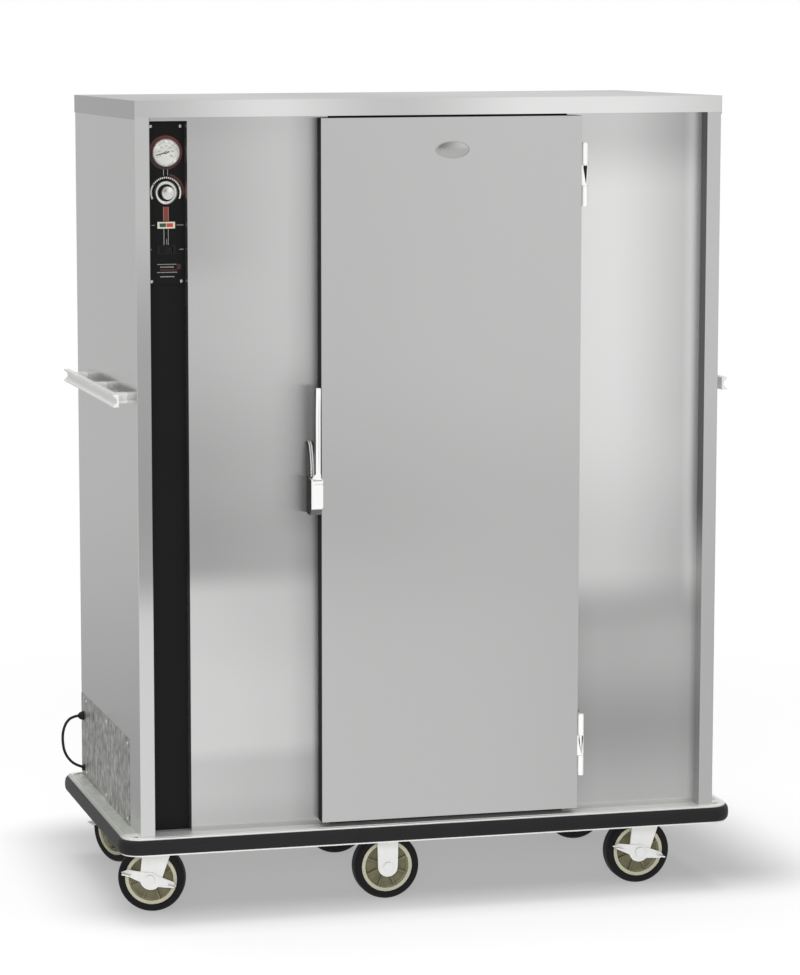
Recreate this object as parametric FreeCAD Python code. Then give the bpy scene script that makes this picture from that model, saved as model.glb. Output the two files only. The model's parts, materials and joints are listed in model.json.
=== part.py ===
"""Heated banquet cabinet on six casters: every piece as its own solid, in millimetres.

Origin on the floor under the middle of the cabinet, +X to the right as seen
from the front, +Y to the back, +Z up.
"""
import FreeCAD
import Part
import math
import os

V = FreeCAD.Vector
X, Y, Z = V(1, 0, 0), V(0, 1, 0), V(0, 0, 1)

# Cabinet body
cabinet_width = 1340.0
cabinet_depth = 710.0
cabinet_height = 1618.0
skin = 1.2
cap_sheet = 1.5
wall = 36.0
fascia_height = 36.5
cap_flange = 41.0
post_width = 34.0
front_recess = 36.0
column_width = 90.0
column_recess = 28.0

# Wheels and casters
wheel_diameter = 152.0
tyre_thickness = 17.0
tyre_width = 38.0
hub_width = 42.0
axle_diameter = 12.0
fork_clearance = 14.0
fork_sheet = 4.0
crown_thickness = 5.0
lower_race = 4.0
upper_race = 17.6
plate_thickness = 5.0
kingpin_diameter = 16.0
swivel_trail = 44.5
swivel_inset = 96.5
caster_inset = 127.0
rigid_shift = -75.0
fork_heel = 13.0
fork_lead = 14.0
rigid_half = 26.0
rigid_foot = 23.0
front_left_turn = -20.0
back_left_turn = -60.0
brake_sheet = 3.0
brake_reach = 68.0
brake_rest = 13.0
brake_pad = 18.0

# Base and bumper
deck_thickness = 3.0
base_side = 46.0
base_front = 20.0
bumper_height = 40.0
bumper_flange = 3.5
bumper_depth = 11.0
bumper_proud = 8.0
bumper_radius = 50.0
rail_height = 24.0
rail_width = 40.0

# Door, hinges and latch
door_offset = 415.0
door_width = 597.0
door_thickness = 32.0
door_bottom_gap = 11.0
door_top_gap = 5.0
door_overlap = 24.0
hinge_height = 138.0
hinge_low = 144.0
hinge_high = 132.0
hinge_offset = 10.0
barrel_radius = 7.5
pin_radius = 4.0
latch_height = 746.5
latch_width = 28.0
latch_block = 80.0
latch_rebate = 3.0
lever_length = 219.0
lever_width = 12.4
lever_offset = 11.8
strike_width = 16.0
strike_rise = 80.0
bolt_travel = 8.0

# Controls
plate_height = 353.0
plate_sheet = 2.0
plate_drop = 12.5
control_shift = 3.0
screw_spread = 33.0
gauge_drop = 65.0
knob_drop = 152.0
lamp_drop = 222.5
switch_drop = 276.5
gauge_radius = 30.5
needle_rest = -105.0
knob_radius = 26.0
knob_cap = 15.5
knob_height = 27.0
rocker_tilt = 7.0

# Side handles, service panel and lead
handle_rise = 965.5
handle_length = 605.0
handle_standoff = 30.0
handle_bar_height = 28.0
handle_bar_depth = 12.5
handle_groove = 8.0
bracket_spread = 237.0
bracket_width = 24.0
bracket_height = 22.0
access_height = 197.0
access_front = 125.0
lead_diameter = 6.5
lead_inset = 31.5
lead_high = 145.0
lead_low = 19.0
gland_length = 13.0
bush_length = 4.0

# Interior
shelf_count = 3
shelf_wire = 5.0
shelf_pitch = 28.0
guard_left = 90.0
guard_right = 60.0
guard_front = 60.0
guard_back = 50.0
guard_height = 40.0
element_diameter = 8.0
element_left = 150.0
element_right = 160.0
element_margin = 120.0
element_rows = 4

# Fits
running_fit = 0.06
side_gap = 0.4
slip = 0.2

# Planes that follow from the sizes above
half_w = cabinet_width / 2
half_d = cabinet_depth / 2
crown_bottom = wheel_diameter + fork_clearance
crown_top = crown_bottom + crown_thickness
race_top = crown_top + lower_race
plate_bottom = race_top + side_gap + upper_race
deck_bottom = plate_bottom + plate_thickness
deck_top = deck_bottom + deck_thickness
top = deck_top + cabinet_height
roof_under = top - cap_sheet
side_out = half_w - cap_sheet
side_in = side_out - skin
front_face = -half_d
post_front = -half_d + cap_sheet
panel_face = -half_d + front_recess
column_face = panel_face + column_recess
post_back = column_face + 3 * plate_sheet
back_out = half_d - cap_sheet
back_in = back_out - skin
post_inner = half_w - post_width
column_left = -post_inner
column_right = column_left + column_width
door_left = -half_w + door_offset
door_right = door_left + door_width
door_bottom = deck_top + door_bottom_gap
door_top = top - fascia_height - door_top_gap
door_back = front_face + door_thickness
cavity_left = column_right + wall
cavity_right = half_w - max(wall, post_width) - skin
cavity_front = max(panel_face + wall, post_back + 2 * skin)
cavity_back = half_d - wall
cavity_floor = door_bottom + door_overlap
cavity_roof = top - wall
open_left = door_left + door_overlap
open_right = door_right - door_overlap
open_bottom = cavity_floor
open_top = door_top - door_overlap


def box(x, y, z):
    """A block between the (low, high) pairs x, y and z."""
    return Part.makeBox(x[1] - x[0], y[1] - y[0], z[1] - z[0], V(x[0], y[0], z[0]))


def around(centre, half):
    """The (low, high) pair half each side of centre."""
    return (centre - half, centre + half)


def rod(radius, start, end):
    """A round bar between two points."""
    return Part.makeCylinder(radius, (end - start).Length, start, end - start)


def slab(points, along):
    """A flat outline of points pushed along a vector."""
    return Part.Face(Part.makePolygon(list(points) + [points[0]])).extrude(along)


def turned(profile, centre, axis):
    """A closed profile of (radius, distance along axis) turned about the axis."""
    radial = axis.cross(Z if abs(axis.z) < 0.5 else X).normalize()
    points = [centre + radial * r + axis * d for r, d in profile]
    face = Part.Face(Part.makePolygon(points + [points[0]]))
    return face.revolve(centre, axis, 360)


def fused(shapes):
    """One solid out of overlapping or abutting ones."""
    return shapes[0].multiFuse(shapes[1:]).removeSplitter()


def rounded_block(half_x, half_y, radius, z):
    """A block about the origin with its four upright edges rounded."""
    block = box((-half_x, half_x), (-half_y, half_y), z)
    upright = [e for e in block.Edges if e.BoundBox.DiagonalLength - e.BoundBox.ZLength < 1e-6]
    return block.makeFillet(radius, upright)


# Base

rim_out = bumper_proud
rim_in = bumper_proud + bumper_depth
bumper_top = deck_top - 0.5
bumper_bottom = bumper_top - bumper_height


def plan_block(inset, z):
    """A rounded block whose sides lie inset from the bumper's outer face."""
    radius = max(bumper_radius - inset, 1.0)
    return rounded_block(half_w + base_side - inset, half_d + base_front - inset, radius, z)


def base_deck():
    deck = plan_block(rim_in + slip, (deck_bottom, deck_top))
    for side in (-1, 1):
        for end in (-1, 1):
            outline = [(2, -23), (24, -24), (14, -10), (2, -2)]
            points = [V(side * (half_w + x), end * (half_d + y), deck_bottom - 1) for x, y in outline]
            deck = deck.cut(slab(points, Z * (deck_thickness + 2)))
    rails = []
    for y in (-half_d / 2.4, half_d / 2.4):
        x = around(0, half_w + base_side - rim_in - slip)
        outer = box(x, around(y, rail_width / 2), (deck_bottom - rail_height, deck_bottom))
        inner = box(x, around(y, rail_width / 2 - 2.5),
                    (deck_bottom - rail_height + 2.5, deck_bottom - 2.5))
        rails.append(outer.cut(inner))
    return [deck] + rails


def bumper_channel():
    ring = plan_block(rim_out, (bumper_bottom, bumper_top))
    ring = ring.cut(plan_block(rim_in, (bumper_bottom - 1, bumper_top + 1)))
    groove = (bumper_bottom + bumper_flange, bumper_top - bumper_flange)
    cutter = plan_block(rim_out - 5, groove).cut(plan_block(rim_in - bumper_flange, groove))
    return [ring.cut(cutter)]


def bumper_strip():
    z = (bumper_bottom + bumper_flange + slip, bumper_top - bumper_flange - slip)
    outer = plan_block(0.0, z)
    faces = [e for e in outer.Edges if e.BoundBox.ZLength < 1e-6]
    outer = outer.makeFillet(5.0, faces)
    return [outer.cut(plan_block(rim_in - bumper_flange - slip, (z[0] - 1, z[1] + 1)))]


# Casters: the kingpin or plate centre of each, and how far its fork is swung round

swivel_x = half_w - swivel_inset
caster_y = half_d - caster_inset
swivels = {
    "fl": (V(-swivel_x, -caster_y, 0), front_left_turn),
    "fr": (V(swivel_x, -caster_y, 0), 0.0),
    "bl": (V(-swivel_x, caster_y, 0), back_left_turn),
    "br": (V(swivel_x, caster_y, 0), 0.0),
}
rigids = {"mf": V(rigid_shift, -caster_y, 0), "mb": V(rigid_shift, caster_y, 0)}
wheel_radius = wheel_diameter / 2
hub_radius = wheel_radius - tyre_thickness
axle_radius = axle_diameter / 2
leg_in = hub_width / 2 + 1.0
leg_out = leg_in + fork_sheet
crown_half = 36.0
foot_radius = 24.0


def strap(left, right, centre, radius, along):
    """A plate from two upper points down to a rounded foot, pushed along a vector."""
    def tangent(point, turn):
        away = point - centre
        angle = math.atan2(away.z, away.x) + turn * math.acos(radius / away.Length)
        return centre + V(math.cos(angle), 0, math.sin(angle)) * radius
    outline = slab([left, right, tangent(right, -1), tangent(left, 1)], along)
    return fused([outline, rod(radius, centre, centre + along)])


def axle(centre, out_low, out_high):
    """A bolt along Y with a head at each end."""
    shaft = rod(axle_radius, centre + Y * out_low, centre + Y * out_high)
    heads = [rod(11.0, centre + Y * out_low, centre + Y * (out_low - 6.0)),
             rod(11.0, centre + Y * out_high, centre + Y * (out_high + 6.0))]
    return fused([shaft] + heads)


def legs(left, right, centre, radius):
    """The two side plates of a fork, each down to a foot of the given radius."""
    plates = []
    for y in (-leg_out, leg_in):
        shift = Y * y
        plates.append(strap(left + shift, right + shift, centre + shift, radius, Y * fork_sheet))
    return plates


def axle_bore(centre):
    return rod(axle_radius + running_fit, centre - Y * 60, centre + Y * 60)


def caster_plates():
    solids = []
    for kingpin, turn in swivels.values():
        plate = box(around(kingpin.x, 50), around(kingpin.y, 45), (plate_bottom, deck_bottom))
        race = rod(38.0, kingpin + Z * (race_top + side_gap), kingpin + Z * (plate_bottom + 1))
        low = crown_bottom - side_gap
        pin = rod(kingpin_diameter / 2, kingpin + Z * low, kingpin + Z * (plate_bottom + 1))
        nut = rod(13.0, kingpin + Z * (low - 6.0), kingpin + Z * low)
        solids.append(fused([plate, race, pin, nut]))
    for middle in rigids.values():
        solids.append(box(around(middle.x, 50), around(middle.y, 45), (plate_bottom, deck_bottom)))
    for middle in [kingpin for kingpin, turn in swivels.values()] + list(rigids.values()):
        for dx in (-42, 42):
            for dy in (-37, 37):
                head = middle + V(dx, dy, plate_bottom)
                solids.append(rod(6.5, head, head - Z * 5.5))
    return solids


def swung(solids, name):
    """The caster's solids turned about its kingpin to the way it stands."""
    kingpin, turn = swivels[name]
    for solid in solids:
        solid.rotate(kingpin, Z, turn)
    return solids


def swivel_fork(name):
    kingpin = swivels[name][0]
    hub = kingpin + V(-swivel_trail, 0, wheel_radius)
    left = V(hub.x - fork_lead, kingpin.y, crown_top)
    right = V(kingpin.x + fork_heel, kingpin.y, crown_top)
    crown = box((left.x, kingpin.x + crown_half), around(kingpin.y, leg_out), (crown_bottom, crown_top))
    race = rod(34.0, kingpin + Z * crown_top, kingpin + Z * race_top)
    bore = rod(kingpin_diameter / 2 + running_fit, kingpin + Z, kingpin + Z * 400)
    fork = fused([crown, race] + legs(left, right, hub, foot_radius)).cut(bore).cut(axle_bore(hub))
    return swung([fork, axle(hub, -leg_out - brake_sheet - 2 * side_gap, leg_out)], name)


def rigid_forks():
    solids = []
    for middle in rigids.values():
        hub = middle + Z * wheel_radius
        web = box(around(middle.x, rigid_half), around(middle.y, leg_out), (plate_bottom - 5, plate_bottom))
        left = V(middle.x - rigid_half, middle.y, plate_bottom)
        right = V(middle.x + rigid_half, middle.y, plate_bottom)
        fork = fused([web] + legs(left, right, hub, rigid_foot)).cut(axle_bore(hub))
        solids += [fork, axle(hub, -leg_out, leg_out)]
    return solids


def brake_lever(name):
    """A stamped bow-tie plate that rocks on the axle outside the fork."""
    hub = swivels[name][0] + V(-swivel_trail, 0, wheel_radius)
    inner = hub - Y * (leg_out + side_gap)
    along = -Y * brake_sheet
    arm = 0.77 * brake_reach
    left = [V(0, 0, 15), V(-0.8 * brake_reach, 0, 10), V(-brake_reach, 0, 1),
            V(-0.8 * brake_reach, 0, -4), V(0, 0, -15)]
    right = [V(0, 0, 15), V(arm, 0, 8), V(1.15 * arm, 0, 0), V(arm, 0, -6), V(0, 0, -15)]
    plates = [slab([inner + p for p in left], along), slab([inner + p for p in right], along)]
    plates.append(rod(17.0, inner, inner + along))
    for x0, x1 in ((-brake_reach + 4, -0.66 * brake_reach), (0.82 * arm, 1.1 * arm)):
        tab_y = (inner.y - brake_sheet - brake_pad, inner.y)
        plates.append(box((inner.x + x0, inner.x + x1), tab_y, around(inner.z + 1, 1.5)))
    lever = fused(plates).cut(axle_bore(hub))
    lever.rotate(hub, Y, brake_rest)
    return swung([lever], name)


def wheel(hub):
    """A ribbed hub and the tyre around it."""
    half, rim, web = hub_width / 2, tyre_width / 2 - 2, 4.0
    bore = axle_radius + running_fit
    rim_in_radius = hub_radius - 8.0
    profile = [(bore, -half), (16, -half), (16, -web), (rim_in_radius, -web), (rim_in_radius, -rim),
               (hub_radius - slip, -rim), (hub_radius - slip, rim), (rim_in_radius, rim),
               (rim_in_radius, web), (16, web), (16, half), (bore, half)]
    pieces = [turned(profile, hub, Y)]
    for i in range(8):
        rib = box((hub.x + 14, hub.x + rim_in_radius + 2), around(hub.y, rim - 4), around(hub.z, 2))
        rib.rotate(hub, Y, 45.0 * i + 22.5)
        pieces.append(rib)
    w = tyre_width / 2
    tyre = [(hub_radius, -w + 2), (hub_radius + 2, -w), (wheel_radius - 5, -w),
            (wheel_radius - 1.2, -w + 3.5), (wheel_radius, -w + 9), (wheel_radius, w - 9),
            (wheel_radius - 1.2, w - 3.5), (wheel_radius - 5, w), (hub_radius + 2, w),
            (hub_radius, w - 2)]
    return [fused(pieces), turned(tyre, hub, Y)]


# Cabinet body

def side_panel_left():
    panel = box((-side_out, -side_in), (post_front, back_out), (deck_top, roof_under))
    window = box((-side_out - 1, -side_in + 1),
                 (post_front + access_front + 25, back_out - 45),
                 (deck_top + 25, deck_top + access_height - 25))
    return [panel.cut(window)]


def side_panel_right():
    return [box((side_in, side_out), (post_front, back_out), (deck_top, roof_under))]


def back_panel():
    return [box((-side_in, side_in), (back_in, back_out), (deck_top, roof_under))]


def top_cap():
    x, y = (-half_w, half_w), (-half_d, half_d)
    sheets = [box(x, y, (top - cap_sheet, top)),
              box(x, (-half_d, post_front), (top - fascia_height, top)),
              box(x, (back_out, half_d), (top - cap_flange, top)),
              box((-half_w, -side_out), y, (top - cap_flange, top)),
              box((side_out, half_w), y, (top - cap_flange, top))]
    return [fused(sheets)]


def front_posts():
    posts = []
    for x in ((-side_in, -post_inner), (post_inner, side_in)):
        outer = box(x, (post_front, post_back), (deck_top, roof_under))
        inner = box((x[0] + skin, x[1] - skin), (post_front + skin, post_back - skin),
                    (deck_top, roof_under))
        posts.append(outer.cut(inner))
    return posts


def front_panel_left():
    z = (deck_top, roof_under)
    return [fused([
        box((column_right, open_left), (panel_face, panel_face + skin), z),
        box((column_right, column_right + skin), (panel_face, post_back), z),
        box((open_left - skin, open_left), (panel_face, cavity_front), (open_bottom, open_top))])]


def front_panel_right():
    return [fused([
        box((open_right, post_inner), (panel_face, panel_face + skin), (deck_top, roof_under)),
        box((open_right, open_right + skin), (panel_face, cavity_front), (open_bottom, open_top))])]


def front_crosspieces():
    x, y = (open_left, open_right), (panel_face, panel_face + skin)
    deep = (panel_face, cavity_front)
    header = [box(x, y, (open_top, roof_under)), box(x, deep, (open_top, open_top + skin))]
    sill = [box(x, y, (deck_top, open_bottom)), box(x, deep, (open_bottom - skin, open_bottom))]
    return [fused(header), fused(sill)]


def inner_liner():
    x, y, z = (cavity_left, cavity_right), (cavity_front, cavity_back), (cavity_floor, cavity_roof)
    wide = (x[0] - skin, x[1] + skin)
    deep = (y[0] - skin, y[1] + skin)
    face = (y[0] - skin, y[0])
    return [
        box((x[0] - skin, x[0]), y, z),
        box((x[1], x[1] + skin), y, z),
        box(wide, (y[1], y[1] + skin), z),
        box(wide, (y[0], deep[1]), (z[0] - skin, z[0])),
        box(wide, deep, (z[1], z[1] + skin)),
        box((wide[0], open_left - skin), face, z),
        box((open_right + skin, wide[1]), face, z),
        box((open_left - skin, open_right + skin), face, (open_top + skin, z[1])),
        box((column_right, column_right + skin), (post_back, back_in), (deck_top, roof_under))]


def insulation():
    wide = (cavity_left - skin, cavity_right + skin)
    deep = (cavity_front - skin, cavity_back + skin)
    front = (panel_face + skin, cavity_front - skin)
    full = (deck_top, roof_under)
    return [
        box((column_right + skin, wide[0]), (panel_face + skin, back_in), full),
        box((wide[1], side_in), (post_back, back_in), full),
        box(wide, (deep[1], back_in), full),
        box(wide, deep, (deck_top, cavity_floor - skin)),
        box(wide, deep, (cavity_roof + skin, roof_under)),
        box((wide[0], open_left - skin), front, full),
        box((open_right + skin, wide[1]), front, full),
        box((open_left - skin, open_right + skin), front, (open_top + skin, roof_under)),
        box((open_left - skin, open_right + skin), front, (deck_top, open_bottom - skin))]


# Interior

pitch_z = (cavity_roof - cavity_floor) / (shelf_count + 1)
shelf_levels = [cavity_floor + pitch_z * (i + 1) for i in range(shelf_count)]


def shelf_rails():
    rails = []
    for level in shelf_levels:
        for face, inward in ((cavity_left, 1), (cavity_right, -1)):
            upright = box(sorted((face, face + 2 * inward)), around(0, 0.36 * cabinet_depth),
                          (level - 26, level))
            ledge = box(sorted((face, face + 25 * inward)), around(0, 0.36 * cabinet_depth),
                        (level - 2, level))
            rails.append(fused([upright, ledge]))
    return rails


def grid(x, y, z, columns, rows, bar):
    """A flat net: a sheet with columns by rows of oblong gaps, bar wide between them."""
    face = Part.makePlane(x[1] - x[0], y[1] - y[0], V(x[0], y[0], z[0]))
    step_x = (x[1] - x[0] - bar) / columns
    step_y = (y[1] - y[0] - bar) / rows
    wires = [face.OuterWire]
    for i in range(columns):
        for j in range(rows):
            corner = V(x[0] + bar + i * step_x, y[0] + bar + j * step_y, z[0])
            hole = Part.makePlane(step_x - bar, step_y - bar, corner).OuterWire
            hole.reverse()
            wires.append(hole)
    return Part.Face(wires).extrude(Z * (z[1] - z[0]))


def shelves():
    x = (cavity_left + 4, cavity_right - 4)
    y = (cavity_front + 22, cavity_back - 6)
    count = int((x[1] - x[0]) / shelf_pitch)
    return [grid(x, y, (z, z + shelf_wire), count, 3, shelf_wire) for z in shelf_levels]


def heater_guard():
    x = (cavity_left + guard_left, cavity_right - guard_right)
    y = (cavity_front + guard_front, cavity_back - guard_back)
    z = cavity_floor + guard_height
    sheet = grid(x, y, (z, z + skin), 12, 3, 34.0)
    flanges = [box(x, (y[0], y[0] + skin), (cavity_floor, z + skin)),
               box(x, (y[1] - skin, y[1]), (cavity_floor, z + skin))]
    return [fused([sheet] + flanges)]


def heater_element():
    """A rod heater wound to and fro over the floor, both ends in the left wall."""
    r = element_diameter / 2
    z = cavity_floor + r + side_gap
    near, far = cavity_left + element_left, cavity_right - element_right
    rows = element_rows
    step = (cavity_back - cavity_front - 2 * element_margin) / (rows - 1)
    ys = [cavity_front + element_margin + step * i for i in range(rows)]
    path = []
    start = V(cavity_left, ys[0], z)
    for i, y in enumerate(ys):
        end_x = far if i % 2 == 0 else near
        if i == rows - 1:
            end_x = cavity_left
        end = V(end_x, y, z)
        path.append(Part.LineSegment(start, end).toShape())
        if i < rows - 1:
            bulge = step / 2 if i % 2 == 0 else -step / 2
            start = V(end_x, ys[i + 1], z)
            path.append(Part.Arc(end, V(end_x + bulge, y + step / 2, z), start).toShape())
    section = Part.Wire([Part.makeCircle(r, V(cavity_left, ys[0], z), X)])
    return [Part.Wire(path).makePipeShell([section], True, False)]


# Controls

column_x = (column_left + column_right) / 2 + control_shift
plate_top = top - fascia_height - plate_drop
gauge = V(column_x, column_face, plate_top - gauge_drop)
knob_at = V(column_x, column_face, plate_top - knob_drop)
lamp_at = V(column_x, column_face, plate_top - lamp_drop)
switch_at = V(column_x, column_face, plate_top - switch_drop)
out = V(0, -1, 0)


def front_block(centre, half_x, half_z, near, far):
    """A block on the control face from near to far in front of it (minus is behind)."""
    return box(around(centre.x, half_x), sorted((centre.y - near, centre.y - far)),
               around(centre.z, half_z))


def column_cover():
    return [box((column_left, column_right), (column_face, column_face + skin),
                (deck_top, plate_top - plate_height - 0.5)),
            box((column_left, column_right), (column_face, column_face + skin),
                (plate_top + 0.5, roof_under))]


def control_plate():
    plate = box((column_left, column_right), (column_face, column_face + plate_sheet),
                (plate_top - plate_height, plate_top))
    plate = plate.cut(rod(gauge_radius - 2.7, gauge + Y * 9, gauge - Y * 9))
    plate = plate.cut(rod(5.3, knob_at + Y * 9, knob_at - Y * 9))
    plate = plate.cut(front_block(lamp_at, 16.7, 5.7, 9, -9))
    return [plate.cut(front_block(switch_at, 16.7, 8.7, 9, -9))]


def screw(seat, axis):
    return turned([(0, 0), (4.0, 0), (4.0, 0.8), (2.8, 2.0), (0, 2.4)], seat, axis)


def panel_screws():
    heads = []
    for x in (column_x - screw_spread, column_x + screw_spread):
        for z in (plate_top - 8, plate_top - plate_height + 8):
            heads.append(screw(V(x, column_face, z), out))
    y0, y1 = access_y[0] + 10, lead_y - 40
    for z in (deck_top + 14, deck_top + access_height - 11):
        for y in (y0, (y0 + y1) / 2, y1):
            heads.append(screw(V(-half_w, y, z), V(-1, 0, 0)))
    for x in (-0.94 * half_w, 0.94 * half_w):
        for i in range(4):
            z = deck_top + cabinet_height * (0.05 + 0.28 * i)
            heads.append(screw(V(x, back_out, z), Y))
    return heads


def thermometer_case():
    r = gauge_radius
    return [turned([(0, 5.8), (1.2, 5.8), (1.2, 3), (r - 3.8, 3), (r - 3.8, 9), (r - 1.5, 9), (r, 7),
                    (r, 0), (r - 3, 0), (r - 3, -40), (0, -40)], gauge, out)]


def thermometer_lens():
    return [rod(gauge_radius - 3.8 - slip, gauge + out * 6.9, gauge + out * 8.2)]


def thermometer_needle():
    seat = gauge + out * 4.2
    points = [V(-1.4, 0, -8), V(1.4, 0, -8), V(0.9, 0, gauge_radius - 9), V(-0.9, 0, gauge_radius - 9)]
    needle = fused([slab([seat + p for p in points], out * 0.8), rod(3.0, seat, seat + out * 0.8)])
    needle = needle.cut(rod(1.2 + running_fit, seat - out, seat + out * 2))
    needle.rotate(gauge, Y, needle_rest)
    return [needle]


def thermostat_body():
    body = front_block(knob_at, 24, 26, -plate_sheet, -plate_sheet - 44)
    bush = rod(5.0, knob_at - out * 4, knob_at + out * 0.5)
    shaft = rod(3.0, knob_at - out * 4, knob_at + out * (knob_height - 7))
    return [fused([body, bush, shaft])]


def thermostat_knob():
    r, h, cap = knob_radius, knob_height, knob_cap
    bore = 3.0 + running_fit
    knob = turned([(bore, 1), (r, 1), (r, 4), (cap + 1, 6), (cap, h - 1), (cap - 1, h), (0, h),
                   (0, h - 6), (bore, h - 6)], knob_at, out)
    seat = knob_at + V(0, 0, r - 4)
    pointer = box(around(seat.x, 1.0), (seat.y - 5.6, seat.y - 3.5), around(seat.z, 3))
    return [fused([knob, pointer])]


def indicator_lamp():
    bezel = fused([front_block(lamp_at, 19.5, 7.3, 0, 2.5), front_block(lamp_at, 16.5, 5.5, 0, -24)])
    lenses = []
    for dx in (-8.4, 8.4):
        centre = lamp_at + X * dx
        bezel = bezel.cut(front_block(centre, 6.6, 4.1, 0.5, 4))
        lenses.append(front_block(centre, 6.5, 4.0, 0.5, 3.3))
    return [bezel] + lenses


def switch_housing():
    case = fused([front_block(switch_at, 20.5, 10.0, 0, 2.2), front_block(switch_at, 16.5, 8.5, 0, -28)])
    case = case.cut(front_block(switch_at, 14.6, 7.1, 4, -12))
    pivot = switch_at + Y * 4
    return [fused([case, rod(1.5, pivot - Z * 7.5, pivot + Z * 7.5)])]


def switch_rocker():
    pivot = switch_at + Y * 4
    points = [V(-13.2, -7.2, 0), V(0, -10.2, 0), V(13.2, -7.2, 0), V(13.2, 5.8, 0), V(-13.2, 5.8, 0)]
    rocker = slab([pivot + p - Z * 6.8 for p in points], Z * 13.6)
    rocker = rocker.cut(rod(1.5 + running_fit, pivot - Z * 20, pivot + Z * 20))
    rocker.rotate(pivot, Z, -rocker_tilt)
    return [rocker]


# Service panel, side handles and lead

access_y = (post_front + access_front, back_out - 4)
lead_y = back_out - lead_inset
lead_out_z = deck_top + lead_high
lead_in_z = deck_top + lead_low
lead_entry = V(3, 0, -1).normalize()


def access_panel():
    return [box((-half_w, -side_out), access_y, (deck_top + 1, deck_top + access_height))]


def handle_bars():
    bars = []
    z = deck_top + handle_rise
    for side in (-1, 1):
        near = side_out + handle_standoff
        far = near + handle_bar_depth
        half, floor = handle_bar_height / 2, far - handle_groove
        outline = [(near, -half), (far, -half), (far, 3 - half), (floor, 0.3 * -half), (floor, 0.3 * half),
                   (far, half - 3), (far, half), (near, half)]
        points = [V(side * x, -handle_length / 2, z + rise) for x, rise in outline]
        bars.append(slab(points, Y * handle_length))
    return bars


def handle_brackets():
    brackets = []
    z = deck_top + handle_rise
    for side in (-1, 1):
        x = sorted((side * side_out, side * (side_out + handle_standoff)))
        for y in (-bracket_spread, 0, bracket_spread):
            block = box(x, around(y, bracket_width / 2), around(z, bracket_height / 2))
            for edge in (-bracket_width / 2, bracket_width / 2):
                groove = box(x, around(y + edge, 0.29 * bracket_width), around(z, 0.23 * bracket_height))
                block = block.cut(groove)
            brackets.append(block)
    return brackets


def lead_glands():
    r = lead_diameter
    gland = [(0, 0), (1.7 * r, 0), (1.7 * r, 3), (1.5 * r, 5), (1.3 * r, 9), (0.8 * r, gland_length),
             (0, gland_length)]
    bush = [(0, -5), (1.3 * r, -5), (1.2 * r, bush_length - 1), (1.0 * r, bush_length), (0, bush_length)]
    seat = V(-half_w, lead_y, lead_in_z)
    inside = box((-half_w, 0), around(lead_y, 30), around(lead_in_z, 30))
    return [turned(gland, V(-half_w, lead_y, lead_out_z), V(-1, 0, 0)),
            turned(bush, seat, -lead_entry).cut(inside)]


def lead_route():
    """Corner points of the lead, from the gland out, down and back into the bush."""
    start = V(-half_w, lead_y, lead_out_z)
    end = V(-half_w, lead_y, lead_in_z) - lead_entry * bush_length
    span = lead_out_z - lead_in_z
    bow = [(29, 0.016), (43, 0.12), (51, 0.295), (52, 0.5), (47, 0.7), (34, 0.858)]
    return ([start - X * gland_length] + [start - V(reach, 0, drop * span) for reach, drop in bow]
            + [end - lead_entry * 16, end])


def tube_along(points, diameter):
    """A round tube on straight runs joined by tangent arcs; prints its radii and length."""
    path, radii = [], []
    start = points[0]
    for before, corner, after in zip(points, points[1:], points[2:]):
        into = (corner - before).normalize()
        away = (after - corner).normalize()
        half_turn = into.getAngle(away) / 2
        reach = 0.45 * min((corner - before).Length, (after - corner).Length)
        radius = reach / math.tan(half_turn)
        enter, leave = corner - into * reach, corner + away * reach
        bisector = (away - into).normalize()
        middle = corner + bisector * (radius / math.cos(half_turn) - radius)
        path.append(Part.LineSegment(start, enter).toShape())
        path.append(Part.Arc(enter, middle, leave).toShape())
        radii.append(round(radius, 1))
        start = leave
    path.append(Part.LineSegment(start, points[-1]).toShape())
    wire = Part.Wire(path)
    section = Part.Wire([Part.makeCircle(diameter / 2, points[0], points[1] - points[0])])
    tube = wire.makePipeShell([section], True, False)
    print("lead radii", radii, "length", round(wire.Length, 1))
    print("volume ratio", round(tube.Volume / (math.pi * diameter ** 2 / 4 * wire.Length), 4))
    return tube


def supply_lead():
    return [tube_along(lead_route(), lead_diameter)]


# Door, hinges and latch

pin_x = door_right + hinge_offset
pin_y = front_face + barrel_radius
hinge_levels = (door_bottom + hinge_low, door_top - hinge_high)
knuckle = hinge_height / 3
latch_x = door_left - latch_width
latch_z = deck_top + latch_height
lever_x = door_left - lever_offset
pivot_y = front_face - 7.0
pivot_z = latch_z + 0.28 * latch_block
bolt_x = latch_x + 10.0
bolt_y = (front_face + 10.0, front_face + 30.0)
bolt_z = latch_z - 0.25 * latch_block


def door_skin():
    outer = box((door_left, door_right), (front_face, door_back), (door_bottom, door_top))
    inner = box((door_left + skin, door_right - skin), (front_face + skin, door_back + 1),
                (door_bottom + skin, door_top - skin))
    return [outer.cut(inner)]


def door_inside(y):
    return box((door_left + skin, door_right - skin), y, (door_bottom + skin, door_top - skin))


def door_insulation():
    return [door_inside((front_face + skin, door_back - skin))]


def door_liner():
    return [door_inside((door_back - skin, door_back))]


def door_gasket():
    far, near = door_overlap - 6, 4.0
    y = (door_back, panel_face - side_gap)
    outer = box((open_left - far, open_right + far), y, (open_bottom - far, open_top + far))
    return [outer.cut(box((open_left - near, open_right + near), y, (open_bottom - near, open_top + near)))]


def barrel(low, high):
    return rod(barrel_radius, V(pin_x, pin_y, low), V(pin_x, pin_y, high))


def pin_bore():
    return rod(pin_radius + running_fit, V(pin_x, pin_y, deck_top), V(pin_x, pin_y, top))


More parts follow.
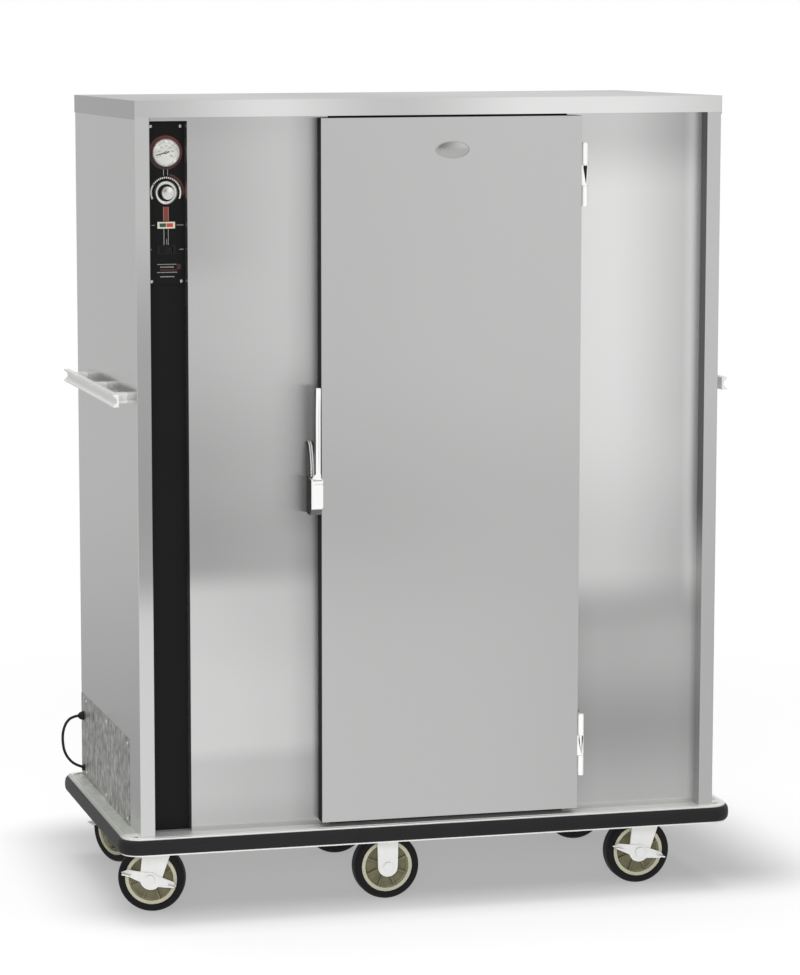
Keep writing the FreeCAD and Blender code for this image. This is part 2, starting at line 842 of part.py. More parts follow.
def hinge_frame_leaves():
    solids = []
    for level in hinge_levels:
        z = around(level, hinge_height / 2)
        leaf = [box((pin_x - 4, pin_x + barrel_radius), (panel_face - 4, panel_face), z)]
        for low in (z[0], z[1] - knuckle + side_gap):
            high = low + knuckle - side_gap
            leaf.append(barrel(low, high))
            leaf.append(box((pin_x - 1, pin_x + barrel_radius), (pin_y, panel_face - 3), (low, high)))
        solids.append(fused(leaf).cut(pin_bore()))
        pin = rod(pin_radius, V(pin_x, pin_y, z[0]), V(pin_x, pin_y, z[1]))
        head = rod(barrel_radius - 1, V(pin_x, pin_y, z[1]), V(pin_x, pin_y, z[1] + 3))
        solids.append(fused([pin, head]))
    return solids


def hinge_door_leaves():
    solids = []
    for level in hinge_levels:
        z = around(level, knuckle / 2 - side_gap)
        leaf = box((door_right, door_right + hinge_offset - barrel_radius + 1.5),
                   (front_face + 2, door_back - 3), z)
        solids.append(fused([leaf, barrel(*z)]).cut(pin_bore()))
    return solids


def latch_body():
    y0, y1 = front_face - 16, front_face + 22
    z0, z1 = around(latch_z, latch_block / 2)
    outline = [V(latch_x, y0, z0 + 14), V(latch_x, y0 + 11, z0), V(latch_x, y1, z0), V(latch_x, y1, z1),
               V(latch_x, y0 + 3, z1), V(latch_x, y0, z1 - 3)]
    block = slab(outline, X * latch_width)
    slot = box(around(lever_x, lever_width / 2 + side_gap), (y0 - 1, pivot_y + 8), (pivot_z - 8, z1 + 1))
    bolt_way = box(around(bolt_x, 5 + side_gap), (bolt_y[0] - side_gap, y1 + 1),
                   (bolt_z - 6 - side_gap, bolt_z + 6 + bolt_travel + side_gap))
    rebate = box((door_left - latch_rebate, door_left + 1), (y0 - 1, front_face), (z0 - 1, z1 + 1))
    pin = rod(3.0, V(latch_x + 1, pivot_y, pivot_z), V(door_left - latch_rebate - 0.5, pivot_y, pivot_z))
    return [fused([block.cut(slot).cut(bolt_way).cut(rebate), pin])]


def latch_lever():
    x0 = lever_x - lever_width / 2
    tip = pivot_z + lever_length
    outline = [V(x0, pivot_y - 4.5, pivot_z), V(x0, pivot_y + 4.0, pivot_z),
               V(x0, pivot_y + 3.0, tip - 60), V(x0, pivot_y - 1.0, tip - 4), V(x0, pivot_y - 4.0, tip),
               V(x0, pivot_y - 8.0, tip - 3), V(x0, pivot_y - 5.0, tip - 60)]
    pivot = V(x0, pivot_y, pivot_z)
    lever = fused([slab(outline, X * lever_width), rod(7.0, pivot, pivot + X * lever_width)])
    return [lever.cut(rod(3.0 + running_fit, pivot - X * 20, pivot + X * 40))]


def latch_bolt():
    near, tail = bolt_y
    side = [(near, -6), (tail - 5, -6), (tail, -1), (tail, 6), (near, 6)]
    return [slab([V(bolt_x - 5, y, bolt_z + rise) for y, rise in side], X * 10)]


def latch_strike():
    """A plate on the panel, a cheek beside the bolt and a curled nose above the block."""
    low, shelf = latch_z - latch_block / 2 + 2, latch_z + latch_block / 2 + 3.5
    tip = shelf - 3.5 + strike_rise
    x = (latch_x, latch_x + strike_width)
    plate = box(x, (panel_face - 3, panel_face), (low, tip - 6))
    cheek = box((x[0], x[0] + 3), (panel_face - 13, panel_face), (low, shelf + 5))
    curl = [(0, shelf), (-30, shelf), (-29, shelf + 22), (-24, shelf + 46), (-15, tip - 9),
            (-7, tip - 2), (0, tip)]
    nose = slab([V(x[0], panel_face + y, z) for y, z in curl], X * strike_width)
    return [fused([plate, cheek, nose])]


nodes = {
    "base_deck": base_deck, "bumper_channel": bumper_channel, "bumper_strip": bumper_strip,
    "caster_plates": caster_plates, "rigid_forks": rigid_forks, "side_panel_left": side_panel_left,
    "side_panel_right": side_panel_right, "back_panel": back_panel, "top_cap": top_cap,
    "front_posts": front_posts, "front_panel_left": front_panel_left,
    "front_panel_right": front_panel_right, "front_crosspieces": front_crosspieces,
    "inner_liner": inner_liner, "insulation": insulation, "shelf_rails": shelf_rails,
    "shelves": shelves, "heater_guard": heater_guard, "heater_element": heater_element,
    "column_cover": column_cover, "control_plate": control_plate, "panel_screws": panel_screws,
    "thermometer_case": thermometer_case, "thermometer_lens": thermometer_lens,
    "thermometer_needle": thermometer_needle, "thermostat_body": thermostat_body,
    "thermostat_knob": thermostat_knob, "indicator_lamp": indicator_lamp,
    "switch_housing": switch_housing, "switch_rocker": switch_rocker, "access_panel": access_panel,
    "handle_bars": handle_bars, "handle_brackets": handle_brackets, "lead_glands": lead_glands,
    "supply_lead": supply_lead, "door_skin": door_skin, "door_insulation": door_insulation,
    "door_liner": door_liner, "door_gasket": door_gasket, "hinge_frame_leaves": hinge_frame_leaves,
    "hinge_door_leaves": hinge_door_leaves, "latch_body": latch_body, "latch_lever": latch_lever,
    "latch_bolt": latch_bolt, "latch_strike": latch_strike,
}

solids_of = {name: make() for name, make in nodes.items()}
for corner, (kingpin, turn) in swivels.items():
    solids_of["swivel_fork_" + corner] = swivel_fork(corner)
    solids_of["brake_lever_" + corner] = brake_lever(corner)
    solids_of["wheel_" + corner] = swung(wheel(kingpin + V(-swivel_trail, 0, wheel_radius)), corner)
for corner, middle in rigids.items():
    solids_of["wheel_" + corner] = wheel(middle + Z * wheel_radius)

os.makedirs("parts", exist_ok=True)
for name, solids in solids_of.items():
    shape = solids[0] if len(solids) == 1 else Part.Compound(solids)
    shape.exportStep("parts/" + name + ".step")
    count = len(shape.Solids)
    if count != len(solids) or not shape.isValid():
        print("look at", name, "solids", count, "of", len(solids), "valid", shape.isValid())
print(len(solids_of), "nodes")
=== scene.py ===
# %% [markdown]
# A heated banquet cabinet: a stainless steel box on six casters, with one
# insulated door, a black control column and a bumper round its base. The solids
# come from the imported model. This file gives them their finishes, adds the small
# shapes that a photograph shows, and sets up the studio.

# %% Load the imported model
import bmesh
import bpy
import json
import numpy as np
from mathutils import Matrix, Vector


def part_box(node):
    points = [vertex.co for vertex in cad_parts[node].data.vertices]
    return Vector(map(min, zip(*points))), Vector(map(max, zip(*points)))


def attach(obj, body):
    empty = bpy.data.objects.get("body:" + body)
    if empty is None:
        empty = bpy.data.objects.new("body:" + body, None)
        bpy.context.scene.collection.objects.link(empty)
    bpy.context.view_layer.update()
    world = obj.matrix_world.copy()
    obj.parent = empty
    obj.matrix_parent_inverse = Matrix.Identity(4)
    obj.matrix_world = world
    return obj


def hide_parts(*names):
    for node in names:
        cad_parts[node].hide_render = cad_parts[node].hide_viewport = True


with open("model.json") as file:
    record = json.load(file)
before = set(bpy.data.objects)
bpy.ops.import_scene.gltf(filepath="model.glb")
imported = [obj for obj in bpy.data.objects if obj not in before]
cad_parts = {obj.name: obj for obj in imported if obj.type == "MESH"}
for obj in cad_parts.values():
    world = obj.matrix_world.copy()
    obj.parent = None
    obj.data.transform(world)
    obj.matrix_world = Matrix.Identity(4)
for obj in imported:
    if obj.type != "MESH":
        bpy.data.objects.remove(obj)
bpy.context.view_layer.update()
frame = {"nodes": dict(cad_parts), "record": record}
nodes = frame["nodes"]
link = bpy.context.scene.collection.objects.link
joint_of = {joint["name"]: joint for joint in frame["record"]["behaviour"]["joints"]}

# %% [markdown]
# The camera comes first. Its place, turn and lens were worked out from the
# cabinet's straight edges in the photograph, with the caster wheels as the scale.
# Blender's camera looks along its own -Z, so its matrix holds the right and up
# directions and the reverse of the view direction. The picture's middle isn't the
# lens's middle, and the shift takes that up.

# %% Camera
FRAME_SIZE = (800, 975)
FOCAL_PIXELS = 3490.3
LENS_MIDDLE = (264.3, 495.9)
EYE = Vector((-2.1489, -7.7503, 1.9763))
PITCH, ROLL, YAW = -0.13376, 0.00406, -0.23408
turn = Matrix.Rotation(YAW, 3, "Z") @ Matrix.Rotation(PITCH, 3, "X") @ Matrix.Rotation(ROLL, 3, "Y")
camera = bpy.data.objects.new("camera", bpy.data.cameras.new("camera"))
link(camera)
right, forward, up = turn.col[0], turn.col[1], turn.col[2]
camera.matrix_world = Matrix.Translation(EYE) @ Matrix((right, up, -forward)).transposed().to_4x4()
camera.data.sensor_width = 36.0
camera.data.lens = FOCAL_PIXELS * camera.data.sensor_width / max(FRAME_SIZE)
camera.data.shift_x = (FRAME_SIZE[0] / 2 - LENS_MIDDLE[0]) / max(FRAME_SIZE)
camera.data.shift_y = (LENS_MIDDLE[1] - FRAME_SIZE[1] / 2) / max(FRAME_SIZE)
camera.data.clip_end = 100.0
bpy.context.scene.camera = camera
print("lens", round(camera.data.lens, 1), "shift", round(camera.data.shift_x, 4))

# %% [markdown]
# The lead leaves a gland low on the left side, bows out and goes back into the
# cabinet below. It is one NURBS curve whose control points are the corners of its
# route, so it bends smoothly and cuts inside them. The order and the end setting
# come after the points, because set before, they would leave straight runs.

# %% Lead
LEAD_POINTS = [(-0.683, 0.346), (-0.699, 0.343984), (-0.713, 0.33088), (-0.721, 0.30883), (-0.7216, 0.283),
               (-0.717, 0.2578), (-0.704, 0.237892), (-0.688974, 0.226325), (-0.673795, 0.221265)]
LEAD_Y, LEAD_DIAMETER = 0.322, 0.0065
route = bpy.data.curves.new("supply_cord", "CURVE")
route.dimensions = "3D"
spline = route.splines.new("NURBS")
spline.points.add(len(LEAD_POINTS) - 1)
for knot, (x, z) in zip(spline.points, LEAD_POINTS):
    knot.co = (x, LEAD_Y, z, 1.0)
    knot.radius = LEAD_DIAMETER / 2
spline.order_u = 3
spline.use_endpoint_u = True
spline.resolution_u = 12
route.bevel_depth = 1.0
route.bevel_resolution = 5
route.use_fill_caps = True
lead = bpy.data.objects.new("supply_cord", route)
link(lead)
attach(lead, "cabinet")
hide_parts("supply_lead")
print("lead points", len(LEAD_POINTS))

# %% [markdown]
# Every new shape is a grid of points worked out with numpy. One function turns a
# grid into a mesh; it can close the grid in either direction, and it merges points
# that fall together, such as the pole of a dome. Several grids can make one piece.

# %% Grid meshes
def grid_faces(rows, columns, close_rows=False, close_columns=False):
    """Quads over a grid of rows by columns points; a closed side joins last to first."""
    i = np.arange(rows if close_rows else rows - 1)
    j = np.arange(columns if close_columns else columns - 1)
    i, j = [a.ravel() for a in np.meshgrid(i, j, indexing="ij")]
    after_i, after_j = (i + 1) % rows, (j + 1) % columns
    row, next_row = i * columns, after_i * columns
    return np.stack([row + j, next_row + j, next_row + after_j, row + after_j], 1).tolist()


def tube_faces(rows, columns):
    """The side of a tube of closed rings, and its two end rings as caps."""
    ends = np.arange(columns) + np.array([[0], [(rows - 1) * columns]])
    return grid_faces(rows, columns, close_columns=True) + ends.tolist()


def piece(name, body, finish, shapes, smooth=False):
    """One object out of shapes, each a pair of points (n, 3) and faces, that rides on a body."""
    starts = np.cumsum([0] + [len(points) for points, faces in shapes])
    points = np.concatenate([points for points, faces in shapes])
    faces = [[corner + start for corner in face] for (_, part), start in zip(shapes, starts.tolist())
             for face in part]
    mesh = bpy.data.meshes.new(name)
    mesh.from_pydata(points.tolist(), [], faces)
    work = bmesh.new()
    work.from_mesh(mesh)
    bmesh.ops.remove_doubles(work, verts=work.verts, dist=1e-6)
    bmesh.ops.dissolve_degenerate(work, dist=1e-7, edges=work.edges)
    bmesh.ops.recalc_face_normals(work, faces=work.faces)
    work.to_mesh(mesh)
    work.free()
    mesh.polygons.foreach_set("use_smooth", [smooth] * len(mesh.polygons))
    mesh.update()
    made = bpy.data.objects.new(name, mesh)
    link(made)
    made.data.materials.append(finish.material)
    if body:
        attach(made, body)
    print(name, "faces", len(mesh.polygons))
    return made


# %% [markdown]
# Shader maths is easier to read as Python. A Tone is one output of a shader node,
# and adding or multiplying Tones adds the Math nodes. A Graph is any node tree, and
# its node method adds any node, its settings first and then its sockets. A Finish is
# a Graph for one material with one Principled shader.

# %% Materials in Python
class Tone:
    """A shader output that + - and * work on."""

    def __init__(self, graph, socket):
        self.graph, self.socket = graph, socket

    def math(self, operation, *sides):
        return self.graph.node("ShaderNodeMath", {"operation": operation}, dict(enumerate(sides)))

    def __add__(self, other):
        return self.math("ADD", self, other)

    def __sub__(self, other):
        return self.math("SUBTRACT", self, other)

    def __rsub__(self, other):
        return self.math("SUBTRACT", other, self)

    def __mul__(self, other):
        return self.math("MULTIPLY", self, other)

    def __abs__(self):
        return self.math("ABSOLUTE", self)

    __radd__ = __add__
    __rmul__ = __mul__

    def most(self, other):
        """The larger of the two."""
        return self.math("MAXIMUM", self, other)

    def root(self):
        return self.math("SQRT", self)

    def rise(self, low, high, kind="SMOOTHSTEP"):
        """0 below low, 1 above high, and a smooth step between; high may be the lower one."""
        sockets = {"Value": self, "From Min": low, "From Max": high}
        return self.graph.node("ShaderNodeMapRange", {"interpolation_type": kind}, sockets)

    def output(self, name):
        """Another output of the same node."""
        return Tone(self.graph, self.socket.node.outputs[name])


class Graph:
    """A node tree that is filled by Python."""

    def __init__(self, tree):
        self.tree = tree

    def node(self, kind, settings=None, sockets=None, output=0):
        node = self.tree.nodes.new(kind)
        for key, value in (settings or {}).items():
            setattr(node, key, value)
        for key, value in (sockets or {}).items():
            self.feed(node.inputs[key], value)
        return Tone(self, node.outputs[output])

    def feed(self, socket, value):
        if isinstance(value, Tone):
            self.tree.links.new(value.socket, socket)
        elif socket.type == "RGBA":
            socket.default_value = (*value, 1.0)
        else:
            socket.default_value = value

    def blend(self, factor, low, high):
        """A colour between low and high."""
        return self.node("ShaderNodeMix", {"data_type": "RGBA"}, {0: factor, 6: low, 7: high}, output=2)


class Finish(Graph):
    """A material with one Principled shader."""

    def __init__(self, name, **sockets):
        self.material = bpy.data.materials.new(name)
        self.material.use_nodes = True
        super().__init__(self.material.node_tree)
        self.shader = self.tree.nodes["Principled BSDF"]
        self.set(**sockets)

    def set(self, **sockets):
        for key, value in sockets.items():
            self.feed(self.shader.inputs[key.replace("_", " ").title().replace("Ior", "IOR")], value)
        return self

    def place(self, scale=(1, 1, 1), shift=(0, 0, 0)):
        """Object coordinates, scaled and then shifted."""
        here = self.node("ShaderNodeTexCoord", output="Object")
        return self.node("ShaderNodeMapping", {}, {"Vector": here, "Scale": scale, "Location": shift})

    def axes(self, middle=(0, 0, 0)):
        """X, Y and Z of Object coordinates, measured from middle."""
        x = self.node("ShaderNodeSeparateXYZ", {}, {"Vector": self.place(shift=[-m for m in middle])})
        return x, x.output("Y"), x.output("Z")

    def noise(self, scale, detail=3.0, stretch=(1, 1, 1)):
        sockets = {"Vector": self.place(stretch), "Scale": scale, "Detail": detail}
        return self.node("ShaderNodeTexNoise", {}, sockets)

    def bump(self, height, strength, distance):
        sockets = {"Strength": strength, "Distance": distance, "Height": height}
        return self.set(normal=self.node("ShaderNodeBump", {}, sockets))


def dress(finish, *names):
    """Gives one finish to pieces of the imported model, and returns it."""
    for name in names:
        slots = nodes[name].data.materials
        slots.clear()
        slots.append(finish.material)
    print(finish.material.name, "on", ", ".join(names))
    return finish


def scaled(colour, factor):
    return tuple(c * factor for c in colour)


def mottled(name, low, high, scale, detail=3.0, **sockets):
    """A finish whose colour wanders between two tones."""
    finish = Finish(name, **sockets)
    return finish.set(base_color=finish.blend(finish.noise(scale, detail), low, high))


# %% [markdown]
# The skins are stainless sheet with a fine brushed grain that runs up and down. The
# grain is noise stretched along Z, and it smears reflections sideways but hardly up
# or down: the shader's anisotropic setting does that. A second, large and faint noise
# breaks up the big flat sheets. Painted shade darkens the recessed panels where the
# door, the post and the cap stand before them, and painted reflections, soft darker
# bands, lie on the panels, the posts, the door and the cap. Each shade is a sum of
# smooth steps over places in metres.

# %% Stainless sheet
UP, ACROSS = (1, 1, 0.012), (0.012, 1, 1)
SHEET = (0.745, 0.745, 0.741)


def stainless(name, colour, rough, stretch=UP, brushed=1.0, shade=None):
    """Brushed sheet; brushed spreads its reflections sideways, and shade gives the painted shade and painted
    reflection bands that darken it.
    """
    steel = Finish(name, metallic=1.0, anisotropic=brushed)
    fine = steel.noise(900.0, 2.0, stretch)
    broad = steel.noise(1.7, 2.0)
    tone = (fine - 0.5) * 0.25 + (broad - 0.5) * 0.3 + 0.5
    sheet = steel.blend(tone, scaled(colour, 0.93), scaled(colour, 1.07))
    if shade:
        x, _, z = steel.axes()
        # painted shade and painted reflections darken the sheet's colour here
        sheet = steel.blend(shade(x, z), sheet, scaled(colour, 0.1))
    return steel.set(base_color=sheet, roughness=rough + (fine - 0.5) * 0.03 + (broad - 0.5) * 0.02)


def left_shade(x, z):
    """Painted shade: darker towards the column at the top, beside the door and the latch, in a painted dark
    band, and at the foot.
    """
    to_column = x.rise(-0.3, -0.56)
    upper = z.rise(0.725, 0.8)
    band = z.rise(1.32, 1.0) * 0.14 + z.rise(1.0, 0.84) * 0.09
    high = 0.085 + to_column * (0.11 + z.rise(1.4, 1.5) * 0.11) + band + z.rise(1.7, 1.78) * 0.05
    foot = z.rise(0.4, 0.345) * 0.18 + z.rise(0.29, 0.21) * 0.1
    low = 0.09 - to_column * 0.07 - z.rise(0.64, 0.5) * 0.05 + foot
    by_latch = x.rise(-0.37, -0.29) * z.rise(0.84, 0.92) * z.rise(1.26, 1.16)
    return low + (high - low) * upper + x.rise(-0.335, -0.262) * 0.16 + by_latch * 0.14


def right_shade(x, z):
    """Painted shade: darker away from the door, under the cap and in its lower part, where two painted dark
    bands cross it.
    """
    low = z.rise(0.76, 0.62)
    away = x.rise(0.42, 0.64) - x.rise(0.592, 0.624)
    far = away * (0.3 - low * 0.26 - z.rise(1.15, 0.95) * 0.08)
    under_cap = z.rise(1.6, 1.74) * 0.25
    fade = z.rise(1.1, 0.78) * 0.13
    bands = abs(z - 0.675).rise(0.08, 0.0) * 0.09 + abs(z - 0.39).rise(0.17, 0.0) * 0.15
    return far + under_cap + low * (0.28 + x.rise(0.41, 0.35) * 0.05) + fade + bands


def post_shade(x, z):
    """Painted shade: the posts' inner flanks are dark, most of all in their upper part; the left post has a
    painted darker band.
    """
    band = z.rise(1.62, 1.25) * z.rise(0.68, 0.8) * 0.25 - z.rise(0.78, 0.66) * 0.1
    flank = abs(x).rise(0.6372, 0.6364)
    return 0.18 + band * x.rise(0.1, -0.1) + flank * (0.15 + z.rise(0.7, 0.92) * 0.65)


def door_shade(x, z):
    """Painted shade: a little darker towards the latch."""
    return x.rise(0.2, -0.25) * 0.055


def cap_shade(x, z):
    """Painted shade and reflections: darker at the cap's two ends, with three soft painted bands along its
    front.
    """
    bands = abs(x + 0.09).rise(0.34, 0.0) * 0.33 + x.rise(-0.3, -0.68) * 0.42 + x.rise(0.42, 0.7) * 0.22
    return bands + abs(x).rise(0.6685, 0.6697) * 0.26


# painted light: the sheets' base tones differ to match how bright each face looks, paler on the right panel
# and the cap, darker on the door
left_steel = dress(stainless("left_panel_steel", SHEET, 0.22, shade=left_shade), "front_panel_left")
dress(stainless("right_panel_steel", (0.915, 0.915, 0.91), 0.22, shade=right_shade), "front_panel_right")
dress(stainless("post_steel", SHEET, 0.2, shade=post_shade), "front_posts")
dress(stainless("door_steel", (0.635, 0.635, 0.632), 0.2, shade=door_shade), "door_skin")
dress(stainless("side_steel", (0.6, 0.6, 0.595), 0.18, brushed=0.6),
      "side_panel_left", "side_panel_right", "back_panel")
dress(stainless("cap_steel", (0.93, 0.93, 0.925), 0.17, ACROSS, 0.0, cap_shade), "top_cap")
dress(stainless("liner_steel", (0.58, 0.58, 0.57), 0.34, brushed=0.0),
      "inner_liner", "door_liner", "shelf_rails", "heater_guard")

# %% [markdown]
# The service panel and the base deck are galvanised: duller, with a mottled
# spangle and streaks. Voronoi cells give each crystal its own slight tone. The
# deck's ledge before the panels is painted paler: painted light.

# %% Galvanised sheet
def galvanised(name, low, high, metallic=1.0, front=None):
    """Mottled sheet between two tones; front is a third, paler tone painted on the ledge before the panels,
    painted light.
    """
    zinc_coat = Finish(name, metallic=metallic)
    sockets = {"Vector": zinc_coat.place(), "Scale": 90.0}
    crystal = zinc_coat.node("ShaderNodeTexVoronoi", {}, sockets, "Color")
    cell = zinc_coat.node("ShaderNodeSeparateColor", {}, {"Color": crystal})
    streak = zinc_coat.noise(60.0, 4.0, (1, 1, 0.12))
    patch = zinc_coat.noise(52.0, 6.0, (1, 1, 0.8))
    tone = (cell - 0.5) * 0.4 + (streak - 0.5) * 0.6 + (patch - 0.5) * 2.2 + 0.5
    sheet = zinc_coat.blend(tone, low, high)
    if front:
        # painted light: the ledge before the panels is paler
        _, y, _ = zinc_coat.axes()
        sheet = zinc_coat.blend(y.rise(-0.3, -0.318), sheet, front)
    return zinc_coat.set(base_color=sheet, roughness=0.36 + cell * 0.12 + (patch - 0.5) * 0.25)


dress(galvanised("service_galvanised", (0.2, 0.2, 0.195), (0.62, 0.62, 0.61)), "access_panel")
dress(galvanised("deck_galvanised", (0.48, 0.5, 0.46), (0.64, 0.66, 0.61), 0.6, (0.86, 0.86, 0.85)),
      "base_deck")

# %% [markdown]
# Chrome on the hinges, screws and latch bolt, zinc plate on the casters, aluminium on
# the push bars and the bumper's channel. A noise wears each of them a little. The
# channel's left run is painted darker: painted shade.

# %% Bright metals
def bright(name, colour, rough, mottle, metallic=1.0):
    """Plate or satin metal; mottle is how far its tone falls, and wear goes with its roughness."""
    metal = Finish(name, metallic=metallic)
    wear = metal.noise(60.0, 4.0)
    return metal.set(base_color=metal.blend(wear, scaled(colour, 1 - mottle), colour),
                     roughness=rough + (wear - 0.5) * 0.15)


CORNERS = ("fl", "fr", "bl", "br")
chrome = dress(bright("chrome_plate", (0.86, 0.86, 0.86), 0.12, 0.08),
               "latch_bolt", "shelves", "panel_screws", "thermostat_knob")
dress(bright("hinge_chrome", (0.95, 0.95, 0.94), 0.3, 0.04, 0.1), "hinge_frame_leaves", "hinge_door_leaves")
dress(bright("bezel_metal", (0.62, 0.62, 0.6), 0.28, 0.08, 0.6), "thermometer_case")
dress(bright("zinc_plate", (0.8, 0.8, 0.79), 0.4, 0.1, 0.2), "caster_plates", "rigid_forks",
      *[start + c for start in ("swivel_fork_", "brake_lever_") for c in CORNERS])
dress(bright("satin_aluminium", (0.93, 0.93, 0.92), 0.36, 0.06, 0.5), "handle_bars", "handle_brackets")
rim_metal = Finish("rim_aluminium", metallic=0.5)
rim_x, rim_y, _ = rim_metal.axes()
# painted shade on the channel's left run
left_run = rim_x.rise(-0.694, -0.702) * rim_y.rise(-0.345, -0.3)
rim_metal.set(base_color=rim_metal.blend(left_run, (0.87, 0.88, 0.84), (0.52, 0.54, 0.49)),
              roughness=0.34 + (rim_metal.noise(60.0, 4.0) - 0.5) * 0.15)
dress(rim_metal, "bumper_channel")

# %% [markdown]
# The latch block and its strike are cast and chromed on their faces. The block's
# flank towards the column and its lower part are painted dark: painted shade. The
# flank is found by its place. The strike's nose is rounded chrome, and its colour is
# a painted reflection: dark, with two painted highlights along it. The lever shows a
# painted dark flank and a painted grey shade line along its ridge. A painted shadow
# line crosses its foot.

# %% Latch casting
casting = Finish("latch_casting", metallic=0.35)
latch_low, latch_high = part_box("latch_body")
across, _, above_foot = casting.axes((latch_low[0], 0, latch_low[2]))
# painted shade: the block's flank towards the column and its lower part are dark
flank = across.rise(0.0007, 0.0002)
flank = flank.most(above_foot.rise(0.0142, 0.0132) * 0.85)
lever_low, lever_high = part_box("latch_lever")
lever_pivot = joint_of["lever_pull"]["pos_m"]
PLATE_TOP, LINE_HEIGHT = lever_pivot[2] + 0.0068, lever_pivot[2] + 0.015
# painted shadow line across the lever's foot
slot_shadow_line = abs(above_foot - (LINE_HEIGHT - latch_low[2])).rise(0.0012, 0.0008)
slot_shadow_line = slot_shadow_line * abs(across - (latch_high[0] - latch_low[0]) / 2).rise(0.0106, 0.0102)
flank = flank.most(slot_shadow_line * 0.75)
pits = casting.noise(240.0, 4.0)
casting.set(base_color=casting.blend(flank, (0.92, 0.92, 0.91), (0.014, 0.014, 0.014)),
            roughness=0.26 + flank * 0.25 + (pits - 0.5) * 0.04)
dress(casting, "latch_body")
nose = Finish("strike_nose", metallic=0.5)
across, _, _ = nose.axes((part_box("latch_strike")[0][0], 0, 0))
# painted reflection: the nose is dark with two painted highlights along it
streak = abs(across - 0.0058).rise(0.0018, 0.001).most(abs(across - 0.0102).rise(0.002, 0.0012))
worn = nose.noise(140.0, 3.0)
nose.set(base_color=nose.blend(streak, (0.045, 0.045, 0.045), (0.92, 0.92, 0.91)),
         roughness=0.28 + (worn - 0.5) * 0.04)
dress(nose, "latch_strike")
lever_chrome = Finish("lever_chrome", metallic=0.4)
across, _, up_lever = lever_chrome.axes((lever_low[0], 0, lever_low[2]))
# painted shade: a grey line along the lever's ridge and a dark flank
ridge = abs(across - 0.0084).rise(0.0012, 0.0004) * up_lever.rise(0.03, 0.07) * up_lever.rise(0.215, 0.19)
flank = across.rise(0.0023, 0.0015)
rub = lever_chrome.noise(90.0, 3.0)
plated = lever_chrome.blend(ridge, (0.95, 0.95, 0.94), (0.62, 0.62, 0.61))
lever_chrome.set(base_color=lever_chrome.blend(flank, plated, (0.05, 0.05, 0.05)),
                 roughness=0.22 + (rub - 0.5) * 0.05)
dress(lever_chrome, "latch_lever")

# %% [markdown]
# The dark pieces: a vinyl bumper, black painted column covers and control plate,
# black plastic switch parts, gasket and lead. Grit gives each a slight tooth.

# %% Dark finishes
def dark(name, colour, rough, scale, strength, gloss=0.25):
    """Black paint, vinyl or rubber: scale and strength are those of the grit on it."""
    black = Finish(name, specular_ior_level=gloss)
    grit = black.noise(scale, 4.0)
    haze = black.noise(9.0, 3.0)
    black.set(base_color=black.blend(haze, scaled(colour, 0.8), scaled(colour, 1.25)),
              roughness=rough + (grit - 0.5) * 0.12)
    return black.bump(grit, strength, 0.0004)


vinyl = dress(dark("bumper_vinyl", (0.01, 0.01, 0.011), 0.46, 420.0, 0.15), "bumper_strip")
dress(dark("black_paint", (0.0045, 0.0045, 0.005), 0.42, 700.0, 0.1, 0.17), "column_cover", "control_plate")
plastic = dress(dark("black_plastic", (0.006, 0.006, 0.006), 0.38, 900.0, 0.08), "thermostat_body",
                "switch_housing", "switch_rocker", "lead_glands", "front_crosspieces")
rubber = dress(dark("black_rubber", (0.012, 0.012, 0.012), 0.55, 600.0, 0.2), "door_gasket", "supply_lead")
edge_black = dark("edge_black", (0.02, 0.02, 0.02), 0.65, 900.0, 0.05, 0.1)
route.materials.append(rubber.material)

# %% [markdown]
# Each wheel is a black tyre on a tan moulded hub, one node with two solids. The
# distance from the axle tells them apart: the length of the cross product of a
# point's place with the axle's direction. The same distance makes the hub's outer
# rim paler than its pockets, which are painted darker: painted shade in the recesses.

# %% Wheels
HUB_RADIUS, RIM_RADIUS, BOSS_RADIUS = 0.0589, 0.0505, 0.0165
for corner in CORNERS + ("mf", "mb"):
    joint = joint_of["roll_" + corner]
    finish = Finish("wheel_" + corner + "_finish", specular_ior_level=0.2)
    here = finish.place(shift=[-c for c in joint["pos_m"]])
    lever_arm = finish.node("ShaderNodeVectorMath", {"operation": "CROSS_PRODUCT"},
                            {0: here, 1: tuple(joint["axis"])})
    radius = finish.node("ShaderNodeVectorMath", {"operation": "LENGTH"}, {0: lever_arm}, "Value")
    tyre = radius.math("GREATER_THAN", radius, HUB_RADIUS)
    # painted shade: the hub's pockets between boss and rim are darker
    pocket = radius.rise(BOSS_RADIUS, BOSS_RADIUS + 0.002)
    pocket = pocket * radius.rise(RIM_RADIUS + 0.0006, RIM_RADIUS - 0.0004)
    grit = finish.noise(500.0, 3.0)
    haze = finish.noise(60.0, 3.0)
    rim = finish.blend(haze, (0.4, 0.38, 0.28), (0.52, 0.5, 0.39))
    hollow_shade = finish.blend(haze, (0.085, 0.078, 0.045), (0.23, 0.215, 0.135))
    rubber_tone = finish.blend(haze, (0.004, 0.004, 0.005), (0.008, 0.008, 0.009))
    finish.set(base_color=finish.blend(tyre, finish.blend(pocket, rim, hollow_shade), rubber_tone),
               roughness=0.45 + tyre * 0.15 + (grit - 0.5) * 0.1)
    finish.bump(grit, 0.1, 0.0003)
    dress(finish, "wheel_" + corner)

# %% [markdown]
# Hidden and small pieces get their finishes too: yellow wool in the walls, a dull
# dark heating rod and a black needle. The lens over the needle is clear, with a low
# index of refraction, so that what it mirrors doesn't hide the dial.

